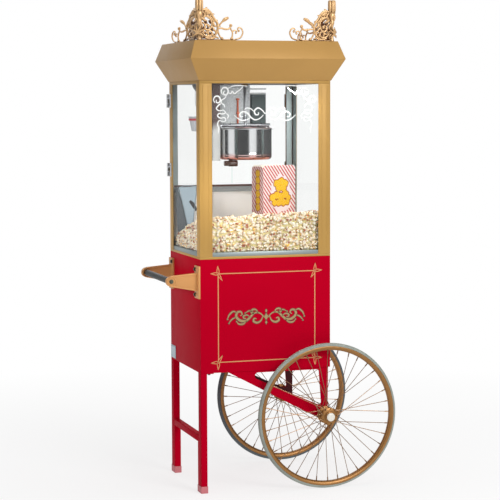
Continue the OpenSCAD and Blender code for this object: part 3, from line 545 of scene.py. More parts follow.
def slab(bm, lo, hi, bevel):
    """A block between two corners with rounded edges."""
    made = bmesh.ops.create_cube(bm, size=1)
    for v in made["verts"]:
        v.co = (lo + hi) / 2 + Vector(a * b for a, b in zip(v.co, hi - lo))
    edges = list({e for v in made["verts"] for e in v.link_edges})
    bmesh.ops.bevel(bm, geom=edges, offset=bevel, segments=2, profile=0.5, affect="EDGES")


def plate(bm, outline, place, depth, mat=0):
    """A flat piece: an outline of 2-D points, put in space by place(u, v, w), w from 0 to depth."""
    front = [bm.verts.new(place(u, v, depth)) for u, v in outline]
    back = [bm.verts.new(place(u, v, 0)) for u, v in outline]
    faces = [front, back[::-1]]
    for i in range(len(outline)):
        k = (i + 1) % len(outline)
        faces.append((front[i], back[i], back[k], front[k]))
    for f in faces:
        bm.faces.new(f).material_index = mat


def stroke(bm, points, width, place, depth, taper=0.35, n=7):
    """A brush stroke that swells in the middle, built as a strip so that it may curl."""
    path = catmull([Vector(p) for p in points], n)
    k = len(path) - 1
    top, low = [], []
    for i, p in enumerate(path):
        wide = width * (taper + (1 - taper) * math.sin(math.pi * min(max(i / k, 0.04), 0.96)))
        t = tangent(path, i)
        side = Vector((-t.y, t.x))
        a, b = p + side * wide / 2, p - side * wide / 2
        top.append((bm.verts.new(place(a.x, a.y, depth)), bm.verts.new(place(b.x, b.y, depth))))
        low.append((bm.verts.new(place(a.x, a.y, 0)), bm.verts.new(place(b.x, b.y, 0))))
    for i in range(k):
        bm.faces.new((top[i][0], top[i][1], top[i + 1][1], top[i + 1][0]))
        bm.faces.new((low[i][1], low[i][0], low[i + 1][0], low[i + 1][1]))
        bm.faces.new((top[i][0], top[i + 1][0], low[i + 1][0], low[i][0]))
        bm.faces.new((top[i + 1][1], top[i][1], low[i][1], low[i + 1][1]))
    bm.faces.new((top[0][1], top[0][0], low[0][0], low[0][1]))
    bm.faces.new((top[k][0], top[k][1], low[k][1], low[k][0]))


def dress_all(*rows):
    """Dresses CAD nodes, from rows of node, material, softened width in mm and segments."""
    for row in rows:
        dress(*row)


# ---------------------------------------------------------------- cart
def inward(f):
    """Slot 1, the dark red painted shade, for faces of the wheel brackets that look to the middle of the
    cart.
    """
    middle = (CART_LO.y + CART_HI.y) / 2
    return 1 if f.normal.y * (middle - f.calc_center_median().y) > 0.05 else 0


dress_all(
    ("cart_box", RED, 1.6, 3),
    ("leg_front", RED, 2.2, 3),
    ("leg_rear", RED, 2.2, 3),
    ("leg_crossbar", RED, 2.2, 3),
    ("leg_feet", FOOT, 1.2, 3),
)
# The inward faces get the dark red painted shade
dress("wheel_brackets", [RED, BRACKET_SHADE_RED], 1.4, 3, chooser=inward)
dress_all(
    ("axle", STEEL, 0.7),
    ("handle_brackets", BRACKET, 2.2, 3),
    ("rating_plate", ALUMINIUM, 0.2),
    ("hinges_fixed", CHROME, 0.4),
    ("storage_door", RED, 0.6),
    ("storage_fittings", CHROME, 0.4),
    ("base_frame", GOLD, 0.8),
)

# The handle: the plane of its plates, its bolts' heights, and the grip's axis
PLATE_X = -6
PLATE_BOLTS_Z = (684, 771)
GRIP_X, GRIP_Z = -97, 733


def grip():
    """The grip bar's ribbed sleeve, with a plain band at each end."""
    lo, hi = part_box("handle_grip")
    r, half = (hi.z - lo.z) / 2, (hi.y - lo.y) / 2
    bore, edge, plain, groove = 0.0042, 0.002, 0.012, 0.0004
    steps = 150
    end = [(bore, half), (r - edge, half), (r, half - edge)]
    prof = [(a, -b) for a, b in end]
    for i in range(steps + 1):
        along = -half + plain + (2 * half - 2 * plain) * i / steps
        prof.append((r - (groove if i % 3 == 1 else 0.0), along))
    bm = bmesh.new()
    lathe(bm, prof + end[::-1], (lo + hi) / 2, (0, 1, 0), 40)
    finish_mesh("grip_sleeve", bm, GRIP_BLACK, "machine", "black_plastic", node="handle_grip")


def bolt(bm, p, out, r):
    """A washer and a hexagon head with softened edges; r is the bolt's own radius."""
    out = Vector(out)
    turn = out.to_track_quat("Z", "Y").to_matrix().to_4x4()
    washer, wide = 0.0011, r * 1.75
    lathe(bm, [(0, 0), (wide, 0), (wide, 0.0007), (r * 1.65, washer), (r, washer)], p, out, 28)
    head = r * 1.25
    made = bmesh.ops.create_cone(bm, cap_ends=True, segments=6, radius1=head, radius2=head, depth=r * 1.1)
    edges = {e for v in made["verts"] for e in v.link_edges}
    got = bmesh.ops.bevel(bm, geom=list(edges), offset=r * 0.12, segments=2, affect="EDGES")
    verts = {v for f in got["faces"] for v in f.verts} | {v for v in made["verts"] if v.is_valid}
    for v in verts:
        v.co = turn @ (v.co + Vector((0, 0, 0.001 + r * 0.55))) + p


def fasteners():
    """Bolts on the handle plates and the grip's ends, and under the body."""
    bm = bmesh.new()
    for rear in (False, True):
        def side(v):
            return D - v if rear else v

        for z in PLATE_BOLTS_Z:
            bolt(bm, at(PLATE_X, side(41), z), (-1, 0, 0), 0.0045)
        bolt(bm, at(GRIP_X, side(18), GRIP_Z), (0, 1 if rear else -1, 0), 0.0042)
        for x, y, z in ((140, 28, 412), (440, 28, 412), (34, 17, 413)):
            bolt(bm, at(x, side(y), z), (0, 0, -1), 0.004)
    finish_mesh("bolt_heads", bm, DARKSTEEL, "machine", "screw_steel", node="cart_fasteners")


def bracket_ribs():
    """Raised edges along the cast handle brackets, a ring round each boss and two gussets."""
    boss = 15.5
    for tag in ("front", "rear"):
        bm = bmesh.new()

        def place(x, y, z):
            return at(x, y if tag == "front" else D - y, z)

        for y in (18, 32):
            for start, end in ((756, 749), (700, 717)):
                tube(bm, [place(PLATE_X, y, start), place(GRIP_X, y, end)], [0.0030, 0.0022], 10)
            ring = [place(GRIP_X + boss * math.cos(t), y, GRIP_Z + boss * math.sin(t))
                    for t in turns(32) + [2 * math.pi]]
            tube(bm, ring, 0.0018, 8, cap=False)
        for z in PLATE_BOLTS_Z:
            tube(bm, [place(PLATE_X, 4, z), place(PLATE_X, 30, z)], [0.0016, 0.0032], 8)
        finish_mesh(f"bracket_ribs_{tag}", bm, BRACKET, "machine", "gold_paint")


grip()
fasteners()
bracket_ribs()


# ---------------------------------------------------------------- painted decoration of the cart
def on_panel(lift):
    """Places (u, v, w) on the cart's front, lift mm off the paint."""
    return lambda u, v, w: at(u, -lift - w, v)


def pinstripes():
    """Hand-lined border on the front panel, with hollow spear heads past each crossing."""
    bm = bmesh.new()
    place = on_panel(0.05)

    def line(a, b, wide):
        s = Vector((a[1] - b[1], b[0] - a[0])).normalized() * wide / 2
        a, b = Vector(a), Vector(b)
        plate(bm, [tuple(p) for p in (a + s, b + s, b - s, a - s)], place, 0.2)

    def spear(foot, tip, wide):
        """Two strokes that part from the line and meet in the tip."""
        foot, tip = Vector(foot), Vector(tip)
        run = tip - foot
        out = Vector((-run.y, run.x)).normalized() * wide / 2
        for s in (-1, 1):
            belly, neck = foot + run * 0.35 + out * s, foot + run * 0.7 + out * s * 0.45
            stroke(bm, [foot + out * s * 0.9, belly, neck, tip], 2.6, place, 0.22, taper=0.6, n=4)

    x0, x1, z0, z1 = 63, W - 57, 452, 756
    wide = 3.4
    for x in (x0, x1):
        line((x, z0), (x, z1), wide)
    for z in (z0, z1):
        line((x0, z), (x1, z), wide)
    for x, sx in ((x0, -1), (x1, 1)):
        for z, sz in ((z0, -1), (z1, 1)):
            spear((x, z), (x + sx * 27, z + sz * 1.5), 8)
            spear((x, z), (x + sx * 1.5, z + sz * 27), 8)
            spear((x + sx * 2, z + sz * 2), (x - sx * 15, z - sz * 24), 7)
    finish_mesh("pinstripes", bm, STRIPE, "machine", "gold_paint")


# One half of the panel's scroll: points from its middle in mm, then the stroke's width
SCROLLS = (
    (((6, -3), (22, 12), (42, 14), (58, 0), (74, -12), (94, -10), (108, 4), (104, 18), (92, 20),
      (87, 11), (94, 6)), 8.2),
    (((30, 12), (36, 24), (48, 26), (54, 18), (48, 12), (43, 17)), 6.4),
    (((58, 0), (70, 8), (82, 4), (80, -3), (73, -3)), 5.6),
    (((70, -11), (82, -22), (98, -22), (106, -14)), 5.6),
    (((12, 2), (20, -14), (34, -20), (46, -14), (43, -5), (35, -7)), 7.0),
    (((104, 16), (118, 22), (132, 12), (139, -2)), 5.4),
    (((108, 2), (122, -4), (134, -16)), 4.6),
    (((44, 15), (60, 22), (74, 16)), 4.2),
)
# Its dots: place and radius; and the middle's gems: height, half width and half height
DOTS = ((139, -4, 2.4), (134, -18, 2.2), (76, 15, 2.2), (107, -13, 2.2))
GEMS = ((0, 7, 11), (20, 3.4, 6), (-20, 3.4, 6))


def flourish():
    """A scroll in gold over the same scroll in a dark outline, in the middle of the front panel."""
    cx, cz = W / 2, 603
    for name, material, slot, lift, grow, depth in (
            ("flourish_outline", DARK_LINE, "dark_plastic", 0.05, 3.6, 0.1),
            ("flourish_gold", FLOURISH, "gold_paint", 0.16, 0.0, 0.14)):
        bm = bmesh.new()
        place = on_panel(lift)
        for s in (-1, 1):
            for pts, wide in SCROLLS:
                stroke(bm, [(cx + s * x, cz + z) for x, z in pts], wide + grow, place, depth, taper=0.3)
            for x, z, r in DOTS:
                r += grow / 2
                dot = [(cx + s * x + r * math.cos(t), cz + z + r * math.sin(t)) for t in turns(16)]
                plate(bm, dot, place, depth)
        for dz, rx, rz in GEMS:
            gem = []
            for t in turns(24):
                k = abs(math.cos(2 * t)) ** 0.6 * 0.35 + 0.65
                u, v = (rx * k + grow / 2) * math.cos(t), (rz * k + grow / 2) * math.sin(t)
                gem.append((cx + u, cz + dz + v))
            plate(bm, gem, place, depth)
        finish_mesh(name, bm, material, "machine", slot)


pinstripes()
flourish()

# ---------------------------------------------------------------- wheels
# Half outlines as (radius, distance from the wheel's middle plane) in mm; the other half mirrors them
RIM_HALF = ((232.4, 5), (233.5, 8.2), (240, 9.4), (243.2, 9.6), (243.6, 10.6), (243, 11.4), (240.5, 11.6),
            (236, 10.8), (231.6, 8.6), (229.4, 5))
FLANGE = ((14.4, 12), (17, 17), (28.6, 18.4), (30, 19.4), (30, 20.6), (28.6, 21.6))
HUB_BACK = ((8.06, -30), (13, -30), (14, -29), (14, -22.4))
HUB_NOSE = ((18, 22.4), (17.4, 23.4), (18, 24.2), (18, 27.6), (17.2, 28.4), (15.4, 28.8), (15.2, 33.4),
            (14.4, 34.2))
HUB_CAP = ((14.4, 33.8), (14.6, 34.2), (14.2, 35.0), (11, 36.3), (7, 37.0), (2, 37.25), (0.02, 37.28))


def mirrored(half):
    return tuple((r, -z) for r, z in half[::-1])


def wheel(tag, sign):
    """sign is -1 for the front wheel, whose nose points to -Y, and 1 for the rear one."""
    body = f"wheel_{tag}_body"
    lo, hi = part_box(f"tyre_{tag}")
    c = (lo + hi) / 2
    radius = (hi.z - lo.z) / 2
    axis = Vector((0, sign, 0))

    def turned(name, outline, material, slot, steps, angle, closed=False, node=None):
        bm = bmesh.new()
        lathe(bm, [(r * MM, z * MM) for r, z in outline], c, axis, steps, closed)
        finish_mesh(name, bm, material, body, slot, angle, node=node)

    bulge, half, groove = 0.0112, 0.0098, 0.00035
    section = []
    for k in range(15):
        a = math.radians(-118 + 236 * k / 14)
        tread = groove * math.cos(a * 9) if abs(a) < 0.95 else 0.0
        section.append((radius - bulge + math.cos(a) * (bulge + tread - groove), math.sin(a) * half))
    bm = bmesh.new()
    lathe(bm, section, c, axis, 200, closed=True)
    # The inward half of the tyre gets the darker rubber, as painted shade
    for f in bm.faces:
        if (f.calc_center_median().y - c.y) * sign < -0.001:
            f.material_index = 1
    finish_mesh(f"tyre_{tag}_rubber", bm, [TYRE, TYRE_PAINTED_SHADE], body, "tyre_rubber", 60, node=f"tyre_{tag}")

    rim = RIM_HALF + ((228.9, 0),) + mirrored(RIM_HALF)
    turned(f"rim_{tag}_rolled", rim, COPPER, "copper_paint", 200, 50, True, f"rim_{tag}")
    spokes(tag, body, c, sign)
    hub = HUB_BACK + mirrored(FLANGE) + ((13.2, 0),) + FLANGE + HUB_NOSE
    turned(f"hub_{tag}_turned", hub, COPPER, "copper_paint", 72, 40, node=f"hub_{tag}")
    turned(f"hub_cap_{tag}", HUB_CAP, CAP, "hammertone", 56, 50)


def spokes(tag, body, c, sign):
    """Crossed wire spokes, laced in turn from outside and inside of each hub flange."""
    per_side, lean, wire = 18, 34, 0.00115
    hub_radius, rim_radius, flange = 27, 228.4, 20
    out = Vector((0, sign, 0))
    ex, ez = Vector((1, 0, 0)), Vector((0, 0, -sign))

    def point(r, deg, z):
        a = math.radians(deg)
        return c + (ex * math.cos(a) + ez * math.sin(a)) * r * MM + out * z * MM

    bm = bmesh.new()
    for side in (-1, 1):
        for i in range(per_side):
            a = (i + (0.5 if side > 0 else 0)) * 360 / per_side
            outer = i % 2 == 0
            way = side if outer else -side
            off = 3.4 if outer else -2.9
            start = point(hub_radius, a + (lean if outer else -lean), side * (flange + off))
            end = point(rim_radius, a, side * 3)
            d = (end - start).normalized()
            tube(bm, [start, end], wire, 8)
            nipple = [end - d * 0.013, end - d * 0.0122, end - d * 0.001, end + d * 0.0004]
            tube(bm, nipple, [0.0013, 0.0021, 0.0022, 0.0022], 8)
            tube(bm, [start, start - out * way * 3.4 * MM], wire, 8)
            ball(bm, start + out * way * 0.6 * MM, 0.0019, 8)
    finish_mesh(f"spokes_{tag}_laced", bm, SPOKE, body, "copper_paint", node=f"spokes_{tag}")


wheel("front", -1)
wheel("rear", 1)

# ---------------------------------------------------------------- cabinet
# The windows' lower and upper edges
WINDOW_LOW, WINDOW_HIGH = 832, 1394


def inner_face(f):
    """Slot 1 for faces on the inside of the corner posts."""
    c = f.calc_center_median()
    x, y = (c.x - CART_LO.x) * 1000, (c.y - CART_LO.y) * 1000
    edge = 1.15
    return 1 if edge < x < W - edge and edge < y < D - edge else 0


def panes():
    """Clear faces and greenish edges on every pane; a pane's normal is along its thin side."""
    for pane in ("glass_front", "glass_sides", "rear_door_left", "rear_door_right"):
        lo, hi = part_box(pane)
        thin = 1 if hi.y - lo.y < 0.006 else 0
        dress(pane, [GLASS, GLASS_EDGE], 0.3, 1, chooser=lambda f: 0 if abs(f.normal[thin]) > 0.9 else 1)


def panel_trim():
    """The lined top lip of the rear panel: a dark edge over a grey band."""
    lo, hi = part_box("rear_panel")
    lip_y, top = (lo.y - CART_LO.y) * 1000, hi.z * 1000
    for name, material, z0, z1, proud in (("panel_edge", TRIM, top - 7, top + 0.4, 0.9),
                                          ("panel_band", BAND, top - 26, top - 7, 0.5)):
        bm = bmesh.new()
        slab(bm, at(11, lip_y - proud, z0), at(W - 11, lip_y + 0.1, z1), 0.0003)
        finish_mesh(name, bm, material, "machine", "dark_paint")


def hinge_screws():
    """Dome screws in the fixed and the swinging leaves of every hinge."""
    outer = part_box("rear_door_left")[1].y + 0.0016
    storage_z, glass_z = (552, 714), (1074, 1320)
    groups = (("machine", 0, glass_z), ("machine", 1, glass_z), ("machine", 1, storage_z),
              ("door_left", 0, glass_z), ("door_right", 1, glass_z), ("cupboard_door", 1, storage_z))
    for k, (body, right, heights) in enumerate(groups):
        bm = bmesh.new()
        for z in (low + dz for low in heights for dz in (8, 40)):
            if body == "machine":
                dome(bm, at(W + 1.5 if right else -1.5, D - 16, z), (1 if right else -1, 0, 0), 0.0026)
                continue
            for x in (10, 25):
                p = at(W - x if right else x, 0, z)
                p.y = outer
                dome(bm, p, (0, 1, 0), 0.0026)
        finish_mesh(f"hinge_screws_{k}", bm, STEEL, body, "screw_steel")


def post_beads():
    """Fine pressed beads down the faces of the four corner posts."""
    bm = bmesh.new()
    front = [(x, 0.1) for x in (12, 31, W - 31, W - 12)]
    for x, y in front + [(x, y) for x in (0.1, W - 0.1) for y in (12, 28)]:
        tube(bm, [at(x, y, WINDOW_LOW), at(x, y, WINDOW_HIGH)], 0.0009, 8)
    finish_mesh("post_beads", bm, GOLD, "machine", "gold_paint")


def post_hems():
    """Painted hems on the inner edges of the rear right post, broken where the rear panel's lip is."""
    bm = bmesh.new()
    for near, far, deep, z0, z1 in ((30.2, 26.6, 2.4, 1046, WINDOW_HIGH),
                                    (30.2, 26.6, 2.4, WINDOW_LOW, 1010),
                                    (5.6, 1.4, 4.0, WINDOW_LOW, WINDOW_HIGH)):
        slab(bm, at(W - near, D - deep, z0), at(W - far, D - 1.4, z1), 0.0002)
    finish_mesh("post_hems", bm, TRIM, "machine", "dark_paint")


for posts in ("posts_front", "posts_rear"):
    dress(posts, [GOLD, LINER], 0.6, chooser=inner_face)
dress_all(
    ("head_rail", GOLD, 0.7),
    ("glass_channels", CHANNEL, 0.3),
    ("deck", STAINLESS, 0.3),
    ("crumb_tray", STAINLESS, 0.4),
    ("ceiling_plate", CEILING, 0.4),
)
panes()
dress_all(
    ("door_fittings_left", CHROME, 0.4),
    ("door_fittings_right", CHROME, 0.4),
    ("rear_panel", SATIN, 0.5),
)
panel_trim()
hinge_screws()
post_beads()
post_hems()
dress("power_gland", BLACK, 0.6)
dress("roof_shell", ROOF, 2.4, 3, angle=15)
dress("switch_panel", STAINLESS, 0.6)
dress("rocker_kettle", KNOB_RED, 1.2, 3, angle=12)
dress("rocker_motor", DARK, 1.2, 3, angle=12)

# ---------------------------------------------------------------- kettle and drive
dress_all(
    ("hanger_arm", ARM, 0.8),
    ("bushes", BRONZE, 0.3),
    ("control_box", HAMMER, 1.6, 3),
    ("junction_box", DARK_PAINT, 2.2, 3),
    ("drive_motor", GREY_PAINT, 1.5),
    ("kettle_lead", LEAD_BLACK, 0.3),
    ("ceiling_lamp", DARK, 0.6),
    ("kettle_trunnion", STEEL, 0.4),
    ("kettle_heater", HEATER, 0.8),
    ("kettle_pan", STAINLESS, 0.0),
    ("kettle_lid", LID, 0.2),
    ("lid_flap", LID, 0.2),
    ("agitator", STEEL, 0.4),
    ("drive_shaft", STEEL, 0.5),
    ("dump_knob", KNOB, 1.5),
)


def kettle():
    """The spun kettle: rolled rim, rounded foot with a swaged bead, and a pouring lip."""
    lo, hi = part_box("kettle_shell")
    c = Vector(((lo.x + hi.x) / 2, (lo.y + hi.y) / 2, lo.z))
    r, h = (hi.x - lo.x) / 2, hi.z - lo.z
    foot, sheet, bore = 0.012, 0.0011, 0.0202

    def rounded(radius):
        return [(r - foot + radius * math.sin(a), foot - radius * math.cos(a)) for a in quarter(10)]

    bead = [(r + 0.0006 * math.sin(math.pi * k / 6), 0.0165 + 0.0005 * k) for k in range(7)]
    wall = [(r, h * k / 12) for k in range(3, 12)]
    roll = ((0, 0.0016), (0.0013, 0.0012), (0.0016, 0.0004), (0.0008, 0))
    rim = [(r + out, h - down) for out, down in roll]
    inner = [(r - sheet, h)] + rounded(foot - sheet)[::-1]
    bm = bmesh.new()
    profile = [(bore, 0.0)] + rounded(foot) + bead + wall + rim + inner + [(bore, sheet)]
    lathe(bm, profile, c, (0, 0, 1), 160, closed=True)
    finish_mesh("kettle_spun_shell", bm, KETTLE, "kettle", "polished", angle=40, node="kettle_shell")

    sweep = [math.radians(-15 + 30 * k / 12) for k in range(13)]
    root = [(a, r + 0.0018) for a in sweep]
    nose = [(-a, r + 0.004 + 0.011 * math.cos(5.6 * a)) for a in sweep]
    lip = [(math.cos(a) * reach, math.sin(a) * reach) for a, reach in root + nose]
    bm = bmesh.new()
    plate(bm, lip, lambda u, v, w: c + Vector((u, v, h - 0.0022 + w + max(u - r, 0) * 0.25)), 0.0012)
    finish_mesh("kettle_pouring_lip", bm, CHROME, "kettle", "polished")


def kettle_details():
    """Rivets of the trunnion ears, screws of the arm and the boxes, and the box's conduit with clips."""
    bm = bmesh.new()
    middle = at(221, 190, 0)
    for x, out in ((middle.x - 0.0912, -1), (middle.x + 0.0902, 1)):
        for dy in (-0.005, 0.005):
            dome(bm, Vector((x, middle.y + dy, 1.2525)), (out, 0, 0), 0.0022)
    finish_mesh("ear_rivets", bm, STEEL, "kettle", "steel")

    bm = bmesh.new()
    arm_y, box_y = (176, 206), 348
    for z in (1150, 1230, 1330, 1388):
        for y in arm_y:
            dome(bm, at(97, y, z), (-1, 0, 0), 0.0024)
    for x in (90, 131):
        for y in arm_y:
            dome(bm, at(x, y, 1398), (0, 0, -1), 0.0026)
    control = [(x, z) for x in (190, 286) for z in (1178, 1356)]
    junction = [(x, z) for z in (1222, 1360) for x in (304, 346)]
    for x, z in control + junction:
        dome(bm, at(x, box_y, z), (0, -1, 0), 0.0022)
    finish_mesh("cabinet_screws", bm, STEEL, "machine", "steel")

    bm = bmesh.new()
    tube(bm, [at(244, 344, z) for z in (1250, 1262, 1300, 1340, 1352)], 0.0032, 12)
    for z in (1252, 1300, 1350):
        slab(bm, at(238.5, 340.2, z - 3), at(249.5, box_y, z + 3), 0.0006)
    finish_mesh("conduit", bm, CONDUIT, "machine", "copper_paint")


kettle()
kettle_details()

# ---------------------------------------------------------------- roof ornaments
# Strokes of one wing: points as distance from the corner and height above the roof,
# then the half thickness at the start, the middle and the end
WING = (
    (((0, 90), (16, 99), (33, 101), (47, 90), (58, 73), (70, 58), (73, 41), (68, 24), (52, 9),
      (30, 3)), 5.0, 4.2, 3.0),
    (((48, 88), (44, 80), (36, 80), (33, 87), (39, 91)), 3.4, 3.2, 3.0),
    (((5, 99), (20, 91), (21, 77), (9, 70)), 3.6, 3.2, 1.8),
    (((8, 64), (24, 79), (42, 74), (51, 58), (47, 40), (33, 33), (24, 43), (31, 53),
      (38, 47)), 2.6, 3.8, 2.4),
    (((3, 54), (12, 31), (28, 14), (45, 14), (51, 26), (42, 32), (35, 25)), 3.4, 3.6, 2.4),
    (((16, 60), (26, 50), (24, 36), (14, 26)), 2.6, 2.8, 1.4),
    (((73, 43), (84, 56), (95, 67), (106, 73)), 2.6, 3.0, 4.6),
    (((74, 38), (86, 40), (99, 37), (112, 38), (121, 47), (116, 53)), 2.4, 3.2, 2.0),
    (((72, 32), (79, 15), (88, 3)), 3.0, 2.6, 3.4),
    (((119, 40), (127, 25), (124, 3)), 2.8, 2.4, 3.2),
    (((125, 27), (134, 33), (142, 30), (140, 24)), 2.4, 2.4, 1.8),
    (((138, 3), (156, 9), (165, 24), (162, 37), (152, 43), (146, 38), (150, 32)), 2.6, 2.6, 1.8),
    (((60, 34), (66, 26), (62, 16), (53, 18)), 3.0, 3.2, 1.8),
    (((62, 62), (54, 66), (46, 76), (36, 72)), 2.4, 4.0, 1.6),
    (((70, 46), (60, 48), (56, 58), (60, 66)), 2.4, 4.2, 1.6),
    (((68, 30), (58, 34), (54, 42), (44, 46)), 2.4, 4.0, 1.6),
    (((10, 84), (14, 74), (24, 66), (34, 62)), 3.6, 4.6, 2.2),
    (((2, 62), (10, 56), (14, 44), (8, 34)), 3.4, 4.8, 2.0),
    (((2, 30), (10, 22), (14, 12), (10, 4)), 3.6, 4.4, 2.4),
    (((14, 34), (22, 26), (34, 24), (38, 16), (30, 10)), 3.0, 4.2, 2.0),
    (((26, 8), (40, 6), (54, 5), (66, 10), (76, 6)), 3.2, 3.6, 2.0),
    (((22, 94), (26, 86), (22, 78), (14, 80)), 3.0, 3.6, 2.0),
    (((90, 62), (97, 68), (104, 72), (109, 74)), 3.2, 6.4, 3.4),
)
# Sunk dark leaves behind the strokes, painted shade for the casting's recesses: two ends of each, and its
# half width
HOLLOWS = (
    ((3, 84), (12, 98), 5.5), ((8, 92), (20, 82), 4.5), ((24, 64), (34, 50), 5.0),
    ((4, 40), (16, 22), 5.5), ((18, 28), (30, 20), 5.0), ((40, 26), (50, 14), 4.5),
    ((54, 22), (64, 12), 4.0), ((6, 8), (40, 9), 3.6),
    ((40, 66), (48, 54), 3.6), ((12, 34), (24, 44), 4.6), ((30, 36), (40, 42), 4.0),
    ((44, 40), (54, 30), 4.0), ((14, 14), (26, 10), 4.6),
)
# Balls and buds: distance, height and radius
BUDS = ((34, 92, 6.2), (40, 90, 5.0), (28, 95, 5.0), (121, 49, 4.2), (38, 47, 4.6), (35, 25, 4.4),
        (88, 5, 4.2), (124, 5, 4.4), (150, 32, 3.2), (21, 77, 4.4), (140, 25, 2.8), (53, 18, 4.0),
        (109, 74, 3.6))
# Where the hooked leaflets leave the main stem: distance and height
LEAFLETS = ((14, 100), (28, 103), (52, 84), (64, 66), (75, 50))
# The spike's turned core as (radius, height)
SPIKE = ((0.0, 0), (7.5, 0), (8, 3), (6.2, 8), (5.2, 16), (6.6, 24), (5.4, 32), (5.0, 50), (7.6, 58),
         (8.8, 64), (7.4, 70), (9.6, 78), (11.4, 86), (10.6, 94), (7.6, 100), (7.6, 138), (0.0, 138))
REED_Z = (95, 104, 118, 130, 136, 139.4)
PETAL = ((4, 66), (9, 72), (12, 82), (10, 92), (13, 97))
# Half the thickness of the cast wings, and the drawing's stretch along the front and the side edge
WING_HALF = 4.5
FRONT_STRETCH, SIDE_STRETCH = 0.95, 2.12


def radius_along(i, k, start, mid, end):
    t = i / k
    if t < 0.5:
        return start + (mid - start) * math.sin(math.pi * t)
    return end + (mid - end) * math.sin(math.pi * t)


def rise(z):
    return Vector((0, 0, z))


def around(a):
    return Vector((math.cos(a), math.sin(a), 0))


def wing_scrolls(bm, place):
    """The strokes, buds and leaflets of one wing on a wavy base line."""
    for pts, start, mid, end in WING:
        flat = catmull([Vector((p[0], p[1], 0)) for p in pts], 7)
        k = len(flat) - 1
        radii = [radius_along(i, k, start, mid, end) * 0.00108 for i in range(k + 1)]
        tube(bm, [place(p.x, p.y, 0) for p in flat], radii, 12, flat=0.85)
        # a raised vein along each side of the stroke
        for side in (-1, 1):
            vein = [place(p.x, p.y, side * radii[i] * 1000 * 0.62) for i, p in enumerate(flat)]
            tube(bm, vein[1:-1], [r * 0.34 for r in radii[1:-1]], 6)
    for d, h, r in BUDS:
        ball(bm, place(d, h, 0), r * 0.00125, 16, tall=1.1)
    for k, (d, h) in enumerate(LEAFLETS):
        a = math.radians(64 - 26 * k)
        tip = (d + 9 * math.cos(a), h + 9 * math.sin(a))
        middle = (d + 5 * math.cos(a + 0.5), h + 5 * math.sin(a + 0.5))
        leaf = catmull([Vector((*q, 0)) for q in ((d - 2, h - 3), middle, tip)], 5)
        taper = [0.0034 - 0.0024 * i / (len(leaf) - 1) for i in range(len(leaf))]
        tube(bm, [place(p.x, p.y, 0) for p in leaf], taper, 10)
    base = [place(d, 1.8, 0) for d in range(8, 146, 6)]
    tube(bm, base, [0.0022 + 0.0006 * math.sin(i * 1.9) for i in range(len(base))], 8)


def spike(bm, foot):
    """The corner's spike: a turned core with petals round its neck and a bundle of reeds on top."""
    lathe(bm, [(r * MM, z * MM) for r, z in SPIKE], foot, (0, 0, 1), 32)
    for k in range(6):
        d = around(2 * math.pi * (k + 0.5) / 6)
        reed = [foot + d * 0.0088 + rise(z * MM) for z in REED_Z]
        tube(bm, reed, [0.0024, 0.0050, 0.0050, 0.0048, 0.0042, 0.002], 12)
    for a in turns(6):
        petal = catmull([foot + around(a) * r * MM + rise(z * MM) for r, z in PETAL], 4)
        tube(bm, petal, [0.0028 - 0.0001 * i for i in range(len(petal))], 8)


def foot_star(bm, foot, out):
    """The star-like leaf low on the outside of the corner."""
    side = Vector((-out.y, out.x, 0))
    lift = rise(0.024)
    for a in (-62, -22, 22, 62, 118, -118):
        t = math.radians(a)
        tip = foot + out * 0.006 + (side * math.sin(t) + rise(math.cos(t))) * 0.026 + lift
        start = foot + out * 0.007 + lift
        tube(bm, [start, (start + tip) / 2 + out * 0.003, tip], [0.0046, 0.0034, 0.0010], 10)


def ornament(tag, flip):
    """Cast leaf scrolls on two wings that meet under a reeded spike at a roof corner."""
    def local(x, y, z):
        """A point in mm from the front corner of the roof's top; x runs inwards on both sides."""
        x -= 6
        return at(W - x if flip else x, y - 14, z + 1545)

    def on_front(d, h, out):
        return local(d * FRONT_STRETCH, WING_HALF + out, h)

    def on_side(d, h, out):
        return local(WING_HALF + out, d * SIDE_STRETCH, h)

    bm = bmesh.new()
    for place in (on_front, on_side):
        wing_scrolls(bm, place)
    foot = local(WING_HALF, WING_HALF, 0)
    spike(bm, foot)
    foot_star(bm, foot, Vector((1 if flip else -1, -1, 0)).normalized())
    finish_mesh(f"ornament_{tag}_cast", bm, CAST, "machine", "ornament_gold", 50, node=f"ornament_{tag}")

    # Dark leaves behind the strokes: painted shade in the recesses
    bm = bmesh.new()
    for place in (on_front, on_side):
        for a, b, r in HOLLOWS:
            run = [Vector(a).lerp(Vector(b), t) for t in (0, 0.2, 0.5, 0.8, 1)]
            radii = [r * k * MM for k in (0.4, 1, 1.3, 1, 0.4)]
            tube(bm, [place(p.x, p.y, 0.6) for p in run], radii, 12, flat=0.5)
    finish_mesh(f"ornament_{tag}_hollows", bm, RECESS_SHADE, "machine", "bronze", 50)


ornament("left", False)
ornament("right", True)

# ---------------------------------------------------------------- glass decoration
# Strokes by the window's left edge, mirrored at its right: points as x and height, then the width
CORNER_SCROLLS = (
    (((84, 1363), (79, 1375), (86, 1386), (98, 1386), (104, 1375), (99, 1364), (90, 1363), (87, 1371),
      (93, 1376)), 5.0),
    (((57, 1336), (52, 1346), (58, 1357), (70, 1357), (76, 1346), (70, 1336), (62, 1338), (62, 1346)), 5.0),
    (((99, 1364), (92, 1352), (80, 1344), (78, 1334), (68, 1326), (62, 1316), (72, 1309), (86, 1312)), 4.6),
    (((86, 1312), (94, 1303), (84, 1298), (72, 1300), (66, 1292), (76, 1284), (90, 1286), (95, 1276),
      (84, 1272)), 4.4),
    (((84, 1272), (72, 1276), (66, 1264), (70, 1248), (68, 1232)), 4.0),
    (((104, 1372), (112, 1366), (118, 1374), (126, 1366), (134, 1372), (146, 1380), (156, 1390)), 4.0),
    (((76, 1334), (88, 1330), (92, 1320)), 3.4),
    (((96, 1300), (104, 1292), (100, 1282)), 3.4),
    (((104, 1384), (120, 1392), (142, 1394), (170, 1392)), 3.0),
)
